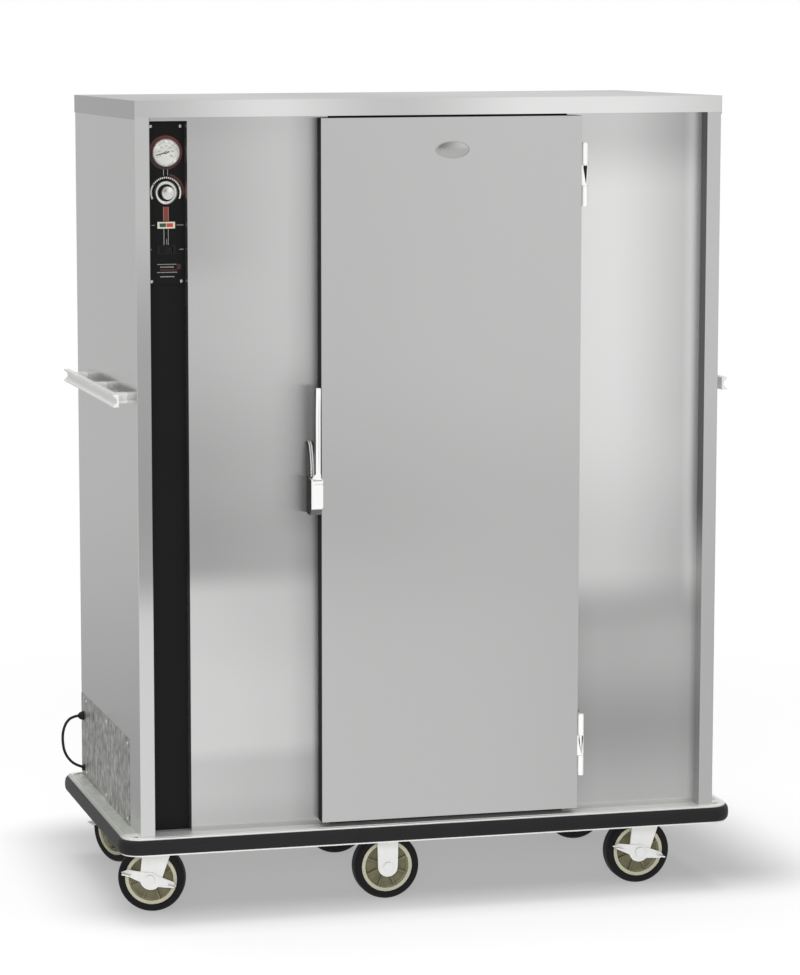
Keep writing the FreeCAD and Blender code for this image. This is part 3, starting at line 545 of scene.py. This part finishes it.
# %% Small finishes
dress(mottled("insulation_wool", (0.62, 0.55, 0.3), (0.75, 0.7, 0.48), 90.0, 5.0, roughness=0.95),
      "insulation", "door_insulation")
dress(mottled("element_rod", (0.16, 0.13, 0.11), (0.28, 0.24, 0.2), 50.0, 4.0, metallic=0.7, roughness=0.6),
      "heater_element")
pointer = dress(mottled("pointer_black", (0.015, 0.015, 0.015), (0.03, 0.03, 0.03), 300.0, roughness=0.5),
                "thermometer_needle")
lens = Finish("lens_glass", transmission_weight=1.0, ior=1.12)
lens.set(roughness=0.02 + lens.noise(40.0) * 0.02, base_color=(0.98, 0.99, 0.99))
dress(lens, "thermometer_lens")

# %% [markdown]
# The indicator lamp is one cream bezel with a green lens and a red lens in it. Their
# places on the face tell the three apart.

# %% Indicator lamp
def middle_of(name):
    """X and Z of the middle of a node's box."""
    low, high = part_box(name)
    return np.array([(low[0] + high[0]) / 2, (low[2] + high[2]) / 2])


lamp_at = middle_of("indicator_lamp")
lamp = Finish("indicator_lamp_finish", roughness=0.3, coat_weight=0.3)
side_x, _, height = lamp.axes((lamp_at[0], 0, lamp_at[1]))
LENS_AT, LENS_HALF_X, LENS_HALF_Z, SOFT = 0.0077, 0.0073, 0.0042, 0.0003
in_lens = abs(abs(side_x) - LENS_AT).rise(LENS_HALF_X, LENS_HALF_X - SOFT)
in_lens = in_lens * abs(height).rise(LENS_HALF_Z, LENS_HALF_Z - SOFT)
speck = lamp.noise(160.0, 3.0)
cream = lamp.blend(speck, (0.66, 0.63, 0.5), (0.74, 0.71, 0.59))
green = lamp.blend(speck, (0.009, 0.045, 0.021), (0.017, 0.066, 0.033))
red = lamp.blend(speck, (0.44, 0.04, 0.016), (0.56, 0.064, 0.03))
lenses = lamp.blend(side_x.rise(-0.001, 0.001), green, red)
lamp.set(base_color=lamp.blend(in_lens, cream, lenses))
dress(lamp, "indicator_lamp")

# %% [markdown]
# The bumper's vinyl is an extrusion: one section carried round a rounded oblong.
# The path gives a point and an outward direction at each step, and the section is
# measured outwards and upwards from it. The front of the section bulges and has two
# shallow grooves.

# %% Bumper strip
def rounded_path(half_x, half_y, radius, per_corner=14):
    """Points and outward directions round an oblong: quarter circles about four corner centres."""
    angle = np.linspace(0, np.pi / 2, per_corner)
    quarter = np.arange(4) * np.pi / 2
    turn = (angle[None, :] + quarter[:, None]).ravel()
    out = np.stack([np.cos(turn), np.sin(turn)], 1)
    sign = np.repeat([[1, 1], [-1, 1], [-1, -1], [1, -1]], per_corner, axis=0)
    return sign * np.array([half_x - radius, half_y - radius]) + out * radius, out


def carried(path, out, section):
    """A closed section of (outward, up) carried round a closed flat path."""
    flat = path[:, None, :] + out[:, None, :] * section[None, :, :1]
    up = np.broadcast_to(section[None, :, 1:], flat.shape[:2] + (1,))
    points = np.concatenate([flat, up], 2)
    return points.reshape(-1, 3), grid_faces(len(path), len(section), True, True)


strip_low, strip_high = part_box("bumper_strip")
middle_z, half_z = (strip_low[2] + strip_high[2]) / 2, (strip_high[2] - strip_low[2]) / 2
STRIP_DEPTH, STRIP_CORNER, EDGE_DROP = 0.0125, 0.05, 0.0046
GROOVE_DEPTH, GROOVE_AT, GROOVE_WIDTH = 0.0007, 0.42, 0.05
t = np.linspace(-1, 1, 33)
groove = GROOVE_DEPTH * np.exp(-((np.abs(t) - GROOVE_AT) / GROOVE_WIDTH) ** 2)
bulge = -EDGE_DROP * np.abs(t) ** 3.2 - groove
section = np.concatenate([np.stack([bulge, middle_z + half_z * t], 1),
                          [[-STRIP_DEPTH, middle_z + half_z], [-STRIP_DEPTH, middle_z - half_z]]])
bumper = piece("bumper_vinyl_strip", "cabinet", vinyl,
               [carried(*rounded_path(strip_high[0], strip_high[1], STRIP_CORNER), section)], smooth=True)
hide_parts("bumper_strip")

# %% [markdown]
# The printing on the control plate is ink, here 0.15 mm thick. A strip is a section
# of four points, two low and two high, carried along a path on the plate. A straight
# path gives lines and bars, and a path of equal radius gives arcs.

# %% Ink strips
plate_low, plate_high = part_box("control_plate")
FACE_Y = plate_low[1]
INK = 0.00015


def strip(path, half_width, lift=INK, face=FACE_Y):
    """Path points (n, 2) in X and Z, widened by half_width each way and raised by lift; closed all round."""
    along = np.gradient(path, axis=0)
    along /= np.linalg.norm(along, axis=1, keepdims=True)
    sideways = np.stack([-along[:, 1], along[:, 0]], 1)
    offset = np.array([-1, -1, 1, 1]) * half_width
    rise = np.array([0, lift, lift, 0])
    flat = path[:, None, :] + sideways[:, None, :] * offset[None, :, None]
    depth = np.broadcast_to(face - rise, flat.shape[:2])
    points = np.stack([flat[..., 0], depth, flat[..., 1]], 2).reshape(-1, 3)
    return points, tube_faces(len(path), 4)


def line(x0, z0, x1, z1, half_width, **more):
    """A straight strip between two points."""
    return strip(np.array([[x0, z0], [x1, z1]], dtype=float), half_width, **more)


def clock(degrees):
    """Directions in X and Z at these angles, clockwise from straight up."""
    turn = np.radians(degrees)
    return np.stack([np.sin(turn), np.cos(turn)], 1)


def arc(centre, radius, start, end, half_width, steps=48, **more):
    return strip(centre + radius * clock(np.linspace(start, end, steps)), half_width, **more)


def spokes(centre, inner, outer, angles, half_width, **more):
    """Short radial strokes at the given angles."""
    way = clock(angles)
    return [line(*a, *b, half_width, **more) for a, b in zip(centre + inner * way, centre + outer * way)]


def ink(name, low, high, rough=0.45):
    return mottled(name, low, high, 700.0, roughness=rough)


white_ink = ink("white_ink", (0.42, 0.42, 0.41), (0.66, 0.66, 0.64))
cream_ink = ink("cream_ink", (0.58, 0.57, 0.52), (0.8, 0.79, 0.73))
grey_ink = ink("grey_ink", (0.18, 0.18, 0.18), (0.3, 0.3, 0.29))
pale_ink = ink("pale_ink", (0.26, 0.26, 0.25), (0.42, 0.42, 0.41))
red_ink = ink("red_ink", (0.16, 0.03, 0.02), (0.26, 0.05, 0.03))
rust_ink = ink("rust_ink", (0.022, 0.009, 0.008), (0.08, 0.02, 0.016))
maroon_ink = ink("maroon_ink", (0.03, 0.007, 0.008), (0.062, 0.013, 0.013))
pink_ink = ink("pale_red_ink", (0.3, 0.18, 0.17), (0.42, 0.27, 0.25))


gauge, knob_at, switch_at = [middle_of(n) for n in ("thermometer_case", "thermostat_knob", "switch_housing")]
column_x = gauge[0]
print("gauge", gauge, "knob", knob_at)

# %% [markdown]
# Two white lines join the gauge to the knob, and two more the lamp to the switch.
# Short strokes mark each side of the lamp and the switch. Below them a label has two
# rules, two rows of small strokes where small print would be, and a maroon box.

# %% Printed lines
def pair(x, z0, z1, apart):
    """Two upright lines, apart to each side of x."""
    return [line(x - apart, z0, x - apart, z1, 0.00045), line(x + apart, z0, x + apart, z1, 0.00038)]


(lamp_x, lamp_z), switch_z = lamp_at, switch_at[1]
lines = pair(column_x, gauge[1] - 0.0325, knob_at[1] + 0.0375, 0.0046)
lines += pair(lamp_x, lamp_z - 0.0083, switch_z + 0.0108, 0.0048)
lines += [line(lamp_x + 0.0014, switch_z + 0.023, lamp_x + 0.0014, switch_z + 0.012, 0.0004)]
piece("printed_lines", "cabinet", white_ink, lines)
x0, x1 = column_x - 0.0165, column_x + 0.0265
print_z = plate_low[2]
LEVEL_MARKS = [(lamp_x - 0.032, lamp_x - 0.0245, lamp_z, 0.0008),
               (lamp_x + 0.0235, lamp_x + 0.039, lamp_z, 0.0008),
               (lamp_x - 0.0345, lamp_x - 0.032, switch_z + 0.001, 0.0013),
               (lamp_x + 0.0295, lamp_x + 0.0385, switch_z + 0.001, 0.0009),
               (x0 - 0.004, x1 - 0.004, print_z + 0.045, 0.0008),
               (x0 - 0.004, x1 - 0.002, print_z + 0.0275, 0.0009)]
marks = [line(start, z, end, z, half) for start, end, z, half in LEVEL_MARKS]
rows = []
for row, gap in ((0.039, 0.0031), (0.018, 0.0036)):
    starts = np.arange(x0 + 0.003, x1 - 0.01, gap)
    rows += [line(x, print_z + row, x + 0.66 * gap, print_z + row, 0.0012) for x in starts]
piece("printed_marks", "cabinet", grey_ink, marks)
piece("printed_rows", "cabinet", pale_ink, rows)
piece("printed_maroon", "cabinet", maroon_ink,
      [line(x0 + 0.002, print_z + 0.0328, x1 - 0.003, print_z + 0.0328, 0.0016),
       line(x1 - 0.003, print_z + 0.0395, x1 + 0.006, print_z + 0.0395, 0.0058)])

# %% [markdown]
# A red bar with a pale outline runs from the knob down to the lamp. Round the knob
# stand cream strokes, and a red arc at the upper right marks the hot end.

# %% Bar and scale
bar_top, bar_low = knob_at[1] - 0.0305, lamp_z + 0.009
piece("red_bar", "cabinet", red_ink,
      [line(column_x, bar_top, column_x, bar_low, 0.0046)])
piece("red_bar_edge", "cabinet", pink_ink,
      [line(column_x + dx, bar_top, column_x + dx, bar_low, 0.0006) for dx in (-0.0054, 0.0054)])
strokes = spokes(knob_at, 0.0308, 0.0346, np.linspace(-52, 60, 15), 0.0013)
strokes += [arc(knob_at, 0.0327, start, end, 0.0017, 24) for start, end in ((-114, -58), (66, 114))]
piece("knob_scale", "cabinet", cream_ink, strokes)
piece("hot_arc", "cabinet", rust_ink, [arc(knob_at, 0.0392, 12, 98, 0.0026)])

# %% [markdown]
# A red ring is printed round the gauge. It is strongest at the upper right and dies
# away at the foot, so its colour follows the angle round the gauge's middle. Another
# function makes every round shape: a profile becomes a stack of rings.

# %% Red ring
ring_red = Finish("ring_red", roughness=0.4)
ring_x, _, ring_z = ring_red.axes((gauge[0], 0, gauge[1]))
angle = ring_x.math("ARCTAN2", ring_x, ring_z)
strength = abs(angle - 0.35).rise(2.9, 0.1) * 0.55 + ring_red.noise(110.0) * 0.4
ring_tone = (0.008, 0.007, 0.008)
for low, high, next_tone in ((0.05, 0.3, (0.04, 0.014, 0.013)), (0.3, 0.7, (0.105, 0.02, 0.018)),
                             (0.7, 1.0, (0.22, 0.03, 0.026))):
    ring_tone = ring_red.blend(strength.rise(low, high, "LINEAR"), ring_tone, next_tone)
ring_red.set(base_color=ring_tone)


def turned(profile, centre, half=(1.0, 1.0), around=64, closed=False, square=1.0):
    """One ring for each (radius, height) of the profile, about centre and rising towards -Y; closed joins
    the last ring to the first. half stretches the rings along X and Z. Their cosine and sine are raised
    to the power square: below 1 a ring nears an oblong."""
    radius, height = np.split(np.asarray(profile, dtype=float), 2, axis=1)
    angle = np.arange(around) * 2 * np.pi / around
    wide, tall = [np.sign(w) * np.abs(w) ** square for w in (np.cos(angle), np.sin(angle))]
    x = centre[0] + radius * half[0] * wide
    z = centre[2] + radius * half[1] * tall
    y = np.broadcast_to(centre[1] - height, x.shape)
    return np.stack([x, y, z], 2).reshape(-1, 3), grid_faces(len(radius), around, closed, True)


RING_IN, RING_OUT = 0.0304, 0.0372
piece("gauge_ring", "cabinet", ring_red,
      [turned([(RING_IN, 0.0), (RING_IN, INK), (RING_OUT, INK), (RING_OUT, 0.0)],
              (gauge[0], FACE_Y, gauge[1]), around=96, closed=True)])

# %% [markdown]
# The thermometer's dial is an off-white card with a scale and plain numbers. The
# card is a disc of rings, and text becomes a mesh whose points are then turned
# upright and moved into place.

# %% Dial card
case_low, case_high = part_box("thermometer_case")
DIAL_RADIUS = (case_high[0] - case_low[0]) / 2 - 0.0039
DIAL_Y, CARD, SWEEP = FACE_Y - 0.003, 0.0002, 120
card = ink("dial_card", (0.66, 0.65, 0.61), (0.76, 0.75, 0.71), 0.5)
piece("dial_card", "cabinet", card,
      [turned([(0, CARD), (DIAL_RADIUS, CARD), (DIAL_RADIUS, 0.0), (0, 0)], (gauge[0], DIAL_Y, gauge[1]))])
on_dial = {"lift": 0.0001, "face": DIAL_Y - CARD}
ticks = spokes(gauge, 0.0195, 0.0225, np.linspace(-SWEEP, SWEEP, 25), 0.00016, **on_dial)
ticks += spokes(gauge, 0.018, 0.0225, np.linspace(-SWEEP, SWEEP, 7), 0.0003, **on_dial)
ticks += [arc(gauge, 0.0229, -SWEEP, SWEEP, 0.00016, 64, **on_dial)]
piece("dial_scale", "cabinet", pointer, ticks)


def lettering(body, size, centre, face, lift=0.0001):
    """Text as thin solids of points and faces, its width along X and its height along Z."""
    text = bpy.data.curves.new("text", "FONT")
    text.body, text.size, text.align_x, text.align_y = body, size, "CENTER", "CENTER"
    text.resolution_u, text.extrude = 2, lift / 2
    holder = bpy.data.objects.new("text", text)
    mesh = bpy.data.meshes.new_from_object(holder)
    flat = np.zeros(len(mesh.vertices) * 3)
    mesh.vertices.foreach_get("co", flat)
    flat = flat.reshape(-1, 3)
    faces = [list(p.vertices) for p in mesh.polygons]
    points = np.stack([flat[:, 0] + centre[0], face - lift / 2 - flat[:, 2], flat[:, 1] + centre[1]], 1)
    bpy.data.objects.remove(holder)
    bpy.data.curves.remove(text)
    bpy.data.meshes.remove(mesh)
    return points, faces


spots = gauge + 0.0145 * clock(np.linspace(-SWEEP, SWEEP, 7))
piece("dial_numbers", "cabinet", pointer,
      [lettering(str(n), 0.005, spot, DIAL_Y - CARD) for n, spot in zip(range(0, 301, 50), spots)])

# %% [markdown]
# The knob is turned aluminium: a flat skirt, a dark groove and a taller cap. It is
# made as three turned profiles, so that the groove can be black, and a short line on
# the skirt shows where it points. It replaces the plain knob and turns with it.

# %% Knob
knob_low, knob_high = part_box("thermostat_knob")
KNOB_R = (knob_high[0] - knob_low[0]) / 2
KNOB_FRONT = FACE_Y - knob_low[1]
knob_centre = (knob_at[0], FACE_Y, knob_at[1])
spun = Finish("spun_aluminium", metallic=1.0)
from_x, _, from_z = spun.axes(knob_centre)
reach = (from_x * from_x + from_z * from_z).root()
lathe = reach.math("SINE", reach * 9000.0)
spun.set(base_color=spun.blend(lathe * 0.5 + 0.5, (0.7, 0.7, 0.68), (0.82, 0.82, 0.8)),
         roughness=0.26 + lathe * 0.05)
SKIRT_IN, SKIRT_BACK, DISH = 0.0176, 0.0012, KNOB_FRONT - 0.0007
skirt = turned([(SKIRT_IN, 0.004), (0.018, 0.005), (0.0192, 0.0054), (KNOB_R - 0.0034, 0.0052),
                (KNOB_R - 0.001, 0.0042), (KNOB_R, 0.0024), (KNOB_R, SKIRT_BACK), (SKIRT_IN, SKIRT_BACK)],
               knob_centre, around=96, closed=True)
cap = turned([(0.0, 0.006), (0.0146, 0.006), (0.0144, KNOB_FRONT - 0.0014), (0.0138, KNOB_FRONT - 0.0004),
              (0.012, KNOB_FRONT - 0.0002), (0.0112, DISH), (0.0, DISH)], knob_centre)
knob = piece("knob_spun", "knob", spun, [skirt, cap], smooth=True)
piece("knob_groove", "knob", plastic,
      [turned([(0.004, 0.0012), (0.0178, 0.0012), (0.0178, 0.0042), (0.0168, 0.0046), (0.0156, 0.0046),
               (0.0142, 0.0062), (0.004, 0.0062)], knob_centre, closed=True)], smooth=True)
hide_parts("thermostat_knob")
piece("knob_pointer", "knob", red_ink,
      [line(knob_at[0], knob_at[1] - KNOB_R + 0.0035, knob_at[0], knob_at[1] - 0.0208, 0.0008,
            face=FACE_Y - 0.0053)])

# %% [markdown]
# Screw heads are small domes with a cross recess. The imported model has the domes,
# and a black cross of two strokes on each is painted shade where the recess lies.

# %% Screw recess shade
SCREW_X, SCREW_INSET, HEAD_HEIGHT = 0.033, 0.008, 0.0022
control_screws = [(column_x + dx, z) for dx in (-SCREW_X, SCREW_X)
                  for z in (plate_high[2] - SCREW_INSET, plate_low[2] + SCREW_INSET)]
# painted shade: a black cross on each screw head for the shade in its recess
recess_shades = [line(x - dx, z - dz, x + dx, z + dz, 0.0005, lift=0.00025, face=FACE_Y - HEAD_HEIGHT)
           for x, z in control_screws for dx, dz in ((0.0017, 0.001), (0.001, -0.0017))]
piece("screw_recess_shade", "cabinet", plastic, recess_shades)

# %% [markdown]
# The door's edge is closed by a black thermal break, a thin plastic band between
# the outer skin and the inner one. It runs round the door as a section carried on an
# upright oblong path.

# %% Door edge
def loop_on_door(low, high, radius, section):
    """A section of (outward, backward) carried round the oblong between two corners, in X and Z. It is
    carried flat, with the depth as Z, and its Y and Z then change places."""
    low, high = np.array(low)[[0, 2]], np.array(high)[[0, 2]]
    half = (high - low) / 2
    path, out = rounded_path(half[0], half[1], radius, 6)
    points, faces = carried(path + (high + low) / 2, out, section)
    return points[:, [0, 2, 1]], faces


door_low, door_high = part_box("door_skin")
break_front, break_back = door_low[1] + 0.0028, door_high[1] - 0.0008
edge_section = np.array([[0.0, break_front], [0.0004, break_front + 0.0004], [0.0004, break_back - 0.0004],
                         [0.0, break_back]])
piece("door_edge_break", "door", edge_black,
      [loop_on_door(door_low, door_high, 0.0012, edge_section)])

# %% [markdown]
# The gasket is a soft magnetic strip: a wide foot with two rounded ridges. Its
# section is a wave over the foot, carried round the door opening.

# %% Gasket
seal_low, seal_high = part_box("door_gasket")
SEAL_WIDTH = 0.014
t = np.linspace(0, 1, 25)
wave = seal_low[1] + (seal_high[1] - seal_low[1]) * np.abs(np.sin(2 * np.pi * t)) ** 0.5
seal_section = np.stack([-SEAL_WIDTH * t, wave], 1)
seal = piece("gasket_strip", "door", rubber,
             [loop_on_door(seal_low, seal_high, 0.006, seal_section)], smooth=True)
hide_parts("door_gasket")

# %% [markdown]
# Inside are wire shelves. Each wire is a six-sided tube between two points, and all
# the wires of the three shelves are worked out at once.

# %% Wire shelves
def wires(starts, ends, radius, sides=6):
    """Tubes between pairs of points: a ring at each end, at right angles to the wire."""
    along = ends - starts
    along /= np.linalg.norm(along, axis=1, keepdims=True)
    first = np.cross(along, [0.0, 0.0, 1.0])
    first /= np.linalg.norm(first, axis=1, keepdims=True)
    second = np.cross(along, first)
    angle = np.arange(sides) * 2 * np.pi / sides
    ring = np.cos(angle)[None, :, None] * first[:, None] + np.sin(angle)[None, :, None] * second[:, None]
    points = np.stack([starts[:, None] + radius * ring, ends[:, None] + radius * ring], 1)
    one = tube_faces(2, sides)
    faces = [[corner + 2 * sides * n for corner in face] for n in range(len(starts)) for face in one]
    return points.reshape(-1, 3), faces


shelf_low, shelf_high = [np.array(c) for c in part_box("shelves")]
levels = np.linspace(shelf_low[2], shelf_high[2] - 0.005, 3)
WIRE_PITCH, WIRE_RADIUS, BAR_RADIUS = 0.014, 0.0012, 0.0016
xs = np.arange(shelf_low[0] + 0.006, shelf_high[0] - 0.004, WIRE_PITCH)
ys = np.linspace(shelf_low[1] + 0.004, shelf_high[1] - 0.004, 4)
fine_x, fine_z = [a.ravel() for a in np.meshgrid(xs, levels, indexing="ij")]
bar_y, bar_z = [a.ravel() for a in np.meshgrid(ys, levels, indexing="ij")]
full = np.ones_like
fine = wires(np.stack([fine_x, full(fine_x) * shelf_low[1], fine_z + 0.0038], 1),
             np.stack([fine_x, full(fine_x) * shelf_high[1], fine_z + 0.0038], 1), WIRE_RADIUS)
bars = wires(np.stack([full(bar_y) * shelf_low[0], bar_y, bar_z + BAR_RADIUS], 1),
             np.stack([full(bar_y) * shelf_high[0], bar_y, bar_z + BAR_RADIUS], 1), BAR_RADIUS)
shelf_wires = piece("shelf_wires", "cabinet", chrome, [fine, bars], smooth=True)
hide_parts("shelves")

# %% [markdown]
# Above the control plate a folded strip of the same steel closes the column, level
# with the panels. Its section is a thin angle, carried straight across.

# %% Column header
def prism(outline, axis, start, end):
    """A closed flat outline carried along one axis from start to end, with both ends closed; its points
    give the other two axes."""
    count = len(outline)
    points = np.insert(np.tile(outline, (2, 1)), axis, np.repeat([start, end], count), axis=1)
    return points, tube_faces(2, count)


left_low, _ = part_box("front_panel_left")
header_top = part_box("front_posts")[1][2] - 0.0002
header_foot = plate_high[2] + 0.0038
front, shelf_end = left_low[1], FACE_Y - 0.0002
POST_INSIDE, FOLD = -0.6358, 0.0016
angle_section = [(front, header_top), (front, header_foot), (front + 0.0012, header_foot - 0.0004),
                 (shelf_end, header_foot - 0.0004), (shelf_end, header_foot + 0.0006),
                 (front + FOLD, header_foot + 0.0006), (front + FOLD, header_top)]
piece("column_header", "cabinet", left_steel,
      [prism(angle_section, 0, POST_INSIDE, left_low[0])])

# %% [markdown]
# High on the door sits a small blank oval plate of satin metal, with a rounded rim.
# It is a dome over an ellipse: rings of shrinking size, each a little prouder.

# %% Door plate
PLATE_X, PLATE_Z, PLATE_HALF = 0.043, 1.706, (0.0385, 0.019)
PLATE_RINGS = [(0.0, 0.0), (1.0, 0.0), (1.0, 0.0008), (0.97, 0.0012), (0.9, 0.0012), (0.87, 0.0008),
               (0.0, 0.0008)]
plate_steel = stainless("door_plate_steel", (0.5, 0.5, 0.49), 0.3, ACROSS, 0.0)
piece("door_plate", "door", plate_steel,
      [turned(PLATE_RINGS, (PLATE_X, door_low[1], PLATE_Z), PLATE_HALF, 72)], smooth=True)

# %% [markdown]
# A thin plate closes the latch block's front below the lever: a stack of rings again,
# nearly oblong. A second plate above it is the lever's foot. It swings with the lever,
# so it stops short of the first. A collar behind it widens from the lever towards the
# block: a flat outline carried back, which stays above the block.

# %% Latch plates
COVER_RINGS = [(0.0, 0.0), (1.0, 0.0), (1.0, 0.0004), (0.95, 0.0009), (0.0, 0.0009)]
COVER_HALF_X = 0.0128
cover_x = (latch_low[0] + latch_high[0]) / 2 + 0.0004


def cover(low, high, back):
    """A nearly oblong plate before the block, from low to high in Z, whose back lies at depth back."""
    half = (COVER_HALF_X, (high - low) / 2)
    return turned(COVER_RINGS, (cover_x, back, (low + high) / 2), half, square=0.16)


piece("latch_plate", "door", casting,
      [cover(latch_low[2] + 0.015, PLATE_TOP, latch_low[1])])
lug_low = lever_pivot[2] + 0.0106
collar_low, collar_top = latch_high[2] + 0.0004, latch_high[2] + 0.011
lug_left, lug_right = lever_low[0] + 0.0002, lever_high[0] - 0.0002
collar = [(lug_left, lug_low), (lug_right, lug_low), (lug_right, collar_top), (lug_left, collar_top),
          (lug_left - 0.0042, collar_top - 0.004), (latch_low[0] + 0.0018, collar_low),
          (lug_left, collar_low)]
foot_back = latch_low[1] - 0.0002
piece("lever_foot", "lever", casting,
      [cover(PLATE_TOP + 0.0006, LINE_HEIGHT + 0.0018, foot_back),
       prism(collar, 1, foot_back, lever_pivot[1] - 0.0045)])

# %% [markdown]
# In the middle knuckle of each hinge a V lies in shade. Thin black pieces on the
# barrel stand for that shade, as painted shade: one wedge on the upper hinge and two
# slim ones on the lower. Each is a patch of the barrel's own surface: the angle runs
# across and the height along, and the patch narrows to a point at its foot.

# %% Hinge shade wedges
(_, _, low_z), (_, _, top_z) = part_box("hinge_door_leaves")
BARREL_R = 0.0075
pin = np.array(joint_of["door_swing"]["pos_m"])
KNUCKLE, INSET = 0.044, 0.001


def wedge(z_low, z_high, left, right, rows=12, columns=7):
    """A thin triangle on the barrel: at share v of its height it spans angles left*v to right*v.
    The section at each height is a closed loop, out along one radius and back along a smaller one."""
    across = np.concatenate([np.linspace(0, 1, columns), np.linspace(1, 0, columns)])
    radius = BARREL_R + np.repeat([0.0002, -0.0003], columns)
    v = np.linspace(0.04, 1, rows)[:, None]
    angle = np.radians((left + (right - left) * across) * v)
    height = np.broadcast_to(z_low + (z_high - z_low) * v, angle.shape)
    x, y = pin[0] + radius * np.sin(angle), pin[1] - radius * np.cos(angle)
    points = np.stack([x, y, height], 2).reshape(-1, 3)
    return points, tube_faces(rows, 2 * columns)


# painted shade: black wedges where the knuckle's V is in shade
shade_wedges = [wedge(top_z - KNUCKLE, top_z - INSET, -56, 18)]
shade_wedges += [wedge(low_z + INSET, low_z + KNUCKLE, left, left + 28) for left in (-66, 4)]
piece("hinge_shade_wedges", "door", plastic, shade_wedges, smooth=True)

# %% [markdown]
# The studio: a pale floor that takes the cabinet's shadow and fades out into the
# white background. The photograph's shadow is soft and close, as under a wide canopy
# of light, and a little to the back and right. Lamps small enough to keep the render
# quick can't give that, so a painted shadow darkens the floor's own tone near the
# cabinet as well: it depends on the distance from a rounded oblong on the floor.

# %% Floor
FLOOR_HALF = 4.5
edge = np.linspace(-FLOOR_HALF, FLOOR_HALF, 3)
fx, fy = [a.ravel() for a in np.meshgrid(edge, edge, indexing="ij")]
pale = Finish("pale_floor", roughness=1.0, emission_strength=0.7, specular_ior_level=0.0)
floor = piece("floor", None, pale, [(np.stack([fx, fy, 0 * fx], 1), grid_faces(3, 3))])
floor.visible_glossy = False
ground_x, ground_y, _ = pale.axes()
SHADE_AT, SHADE_HALF, SHADE_REACH = (0.09, 0.17), (0.66, 0.33), 0.33
beside_x = (abs(ground_x - SHADE_AT[0]) - SHADE_HALF[0]).most(0.0)
beside_y = (abs(ground_y - SHADE_AT[1]) - SHADE_HALF[1]).most(0.0)
# painted shadow: the floor's colour and glow fall off near the cabinet
near = (beside_x * beside_x + beside_y * beside_y).root().rise(SHADE_REACH, 0.0)
pale.set(base_color=pale.blend(near, (0.24, 0.24, 0.24), (0.14, 0.14, 0.14)),
         emission_color=pale.blend(near, (1.0, 1.0, 1.0), (0.52, 0.52, 0.52)))
away = ground_x * ground_x + ground_y * ground_y
faded = pale.node("ShaderNodeMixShader", {}, {0: away.rise(3.5, 12.0), 1: Tone(pale, pale.shader.outputs[0]),
                                              2: pale.node("ShaderNodeBsdfTransparent")})
pale.feed(pale.tree.nodes["Material Output"].inputs["Surface"], faded)

# %% [markdown]
# Metal shows what stands around it, so the world is a studio worked out from each
# ray's azimuth and elevation. In front of the cabinet a darker line, like the far edge
# of a studio floor, runs across, with a bright wall above it at the right and a bright
# floor below it at the left. Elsewhere it is a calm grey, paler above. The camera sees
# plain white, and diffuse light gets one even low level.

# %% World
world = bpy.data.worlds.new("studio")
bpy.context.scene.world = world
world.use_nodes = True
sky = Graph(world.node_tree)
way = sky.node("ShaderNodeSeparateXYZ", {}, {"Vector": sky.node("ShaderNodeTexCoord", output="Generated")})
way_y, way_z = way.output("Y"), way.output("Z")
azimuth = way.math("ARCTAN2", way, 0.0 - way_y)
elevation = way_z.math("ARCSINE", way_z)
FLOOR_LINE, DIFFUSE_LEVEL = -0.15, 0.28
below = (elevation - FLOOR_LINE).rise(0.01, -0.016)
dip = elevation.rise(-0.104, -0.14) * (1.0 - below)
slope = 0.27 - azimuth
to_left = slope.math("MINIMUM", slope.most(-0.25), 0.1)
wall_tone = 0.83 + elevation.rise(-0.04, -0.01) * 0.02
floor_tone = 0.93 + to_left * 2.9
front_tone = wall_tone * (1.0 - below) + floor_tone * below - dip * (0.2 + to_left)
in_front = way_y.rise(-0.45, -0.75) * azimuth.rise(-0.45, 0.0)
plain_tone = 0.42 + elevation.rise(-0.235, -0.125) * 0.22 + elevation.rise(0.0, 0.9) * 0.26
plain_tone = plain_tone + elevation.rise(-0.24, -0.34) * 0.18 + way_y.rise(0.0, -0.5) * 0.1
studio_tone = plain_tone + (front_tone - plain_tone) * in_front
ray = sky.node("ShaderNodeLightPath", output="Is Camera Ray")
shown = ray.output("Is Glossy Ray").most(ray.output("Is Transmission Ray"))
light_level = DIFFUSE_LEVEL + (studio_tone - DIFFUSE_LEVEL) * shown
strength = light_level + (1.0 - light_level) * ray
backdrop = world.node_tree.nodes["Background"]
sky.feed(backdrop.inputs["Strength"], strength)
backdrop.inputs["Color"].default_value = (1, 1, 1, 1)
print("world nodes", len(world.node_tree.nodes))

# %% [markdown]
# Two lamps light the cabinet: a wide soft box close to the camera for the front, and a
# broad sun from overhead, which gives the floor its soft shadow. Neither shows in
# reflections, so the steel mirrors the world alone.

# %% Lamps
def studio_lamp(name, kind, power, **settings):
    """A lamp that doesn't show in reflections, with its settings."""
    light = bpy.data.lights.new(name, kind)
    light.energy = power
    for key, value in settings.items():
        setattr(light, key, value)
    made = bpy.data.objects.new(name, light)
    made.visible_glossy = False
    link(made)
    print(name, kind, power)
    return made


soft_box = studio_lamp("front", "AREA", 340, shape="RECTANGLE", size=3.0, size_y=2.0)
soft_box.location = (-2.2, -7.2, 2.0)
soft_box.rotation_euler = (Vector((0, 0, 1.0)) - soft_box.location).to_track_quat("-Z", "Y").to_euler()
overhead = studio_lamp("overhead", "SUN", 2.7, angle=0.62)
overhead.rotation_euler = (0.0, -0.07, 0.0)
bpy.context.scene.view_settings.view_transform = "Standard"

# %% [markdown]
# Last, the view layer is updated.

# %% Finish
bpy.context.view_layer.update()
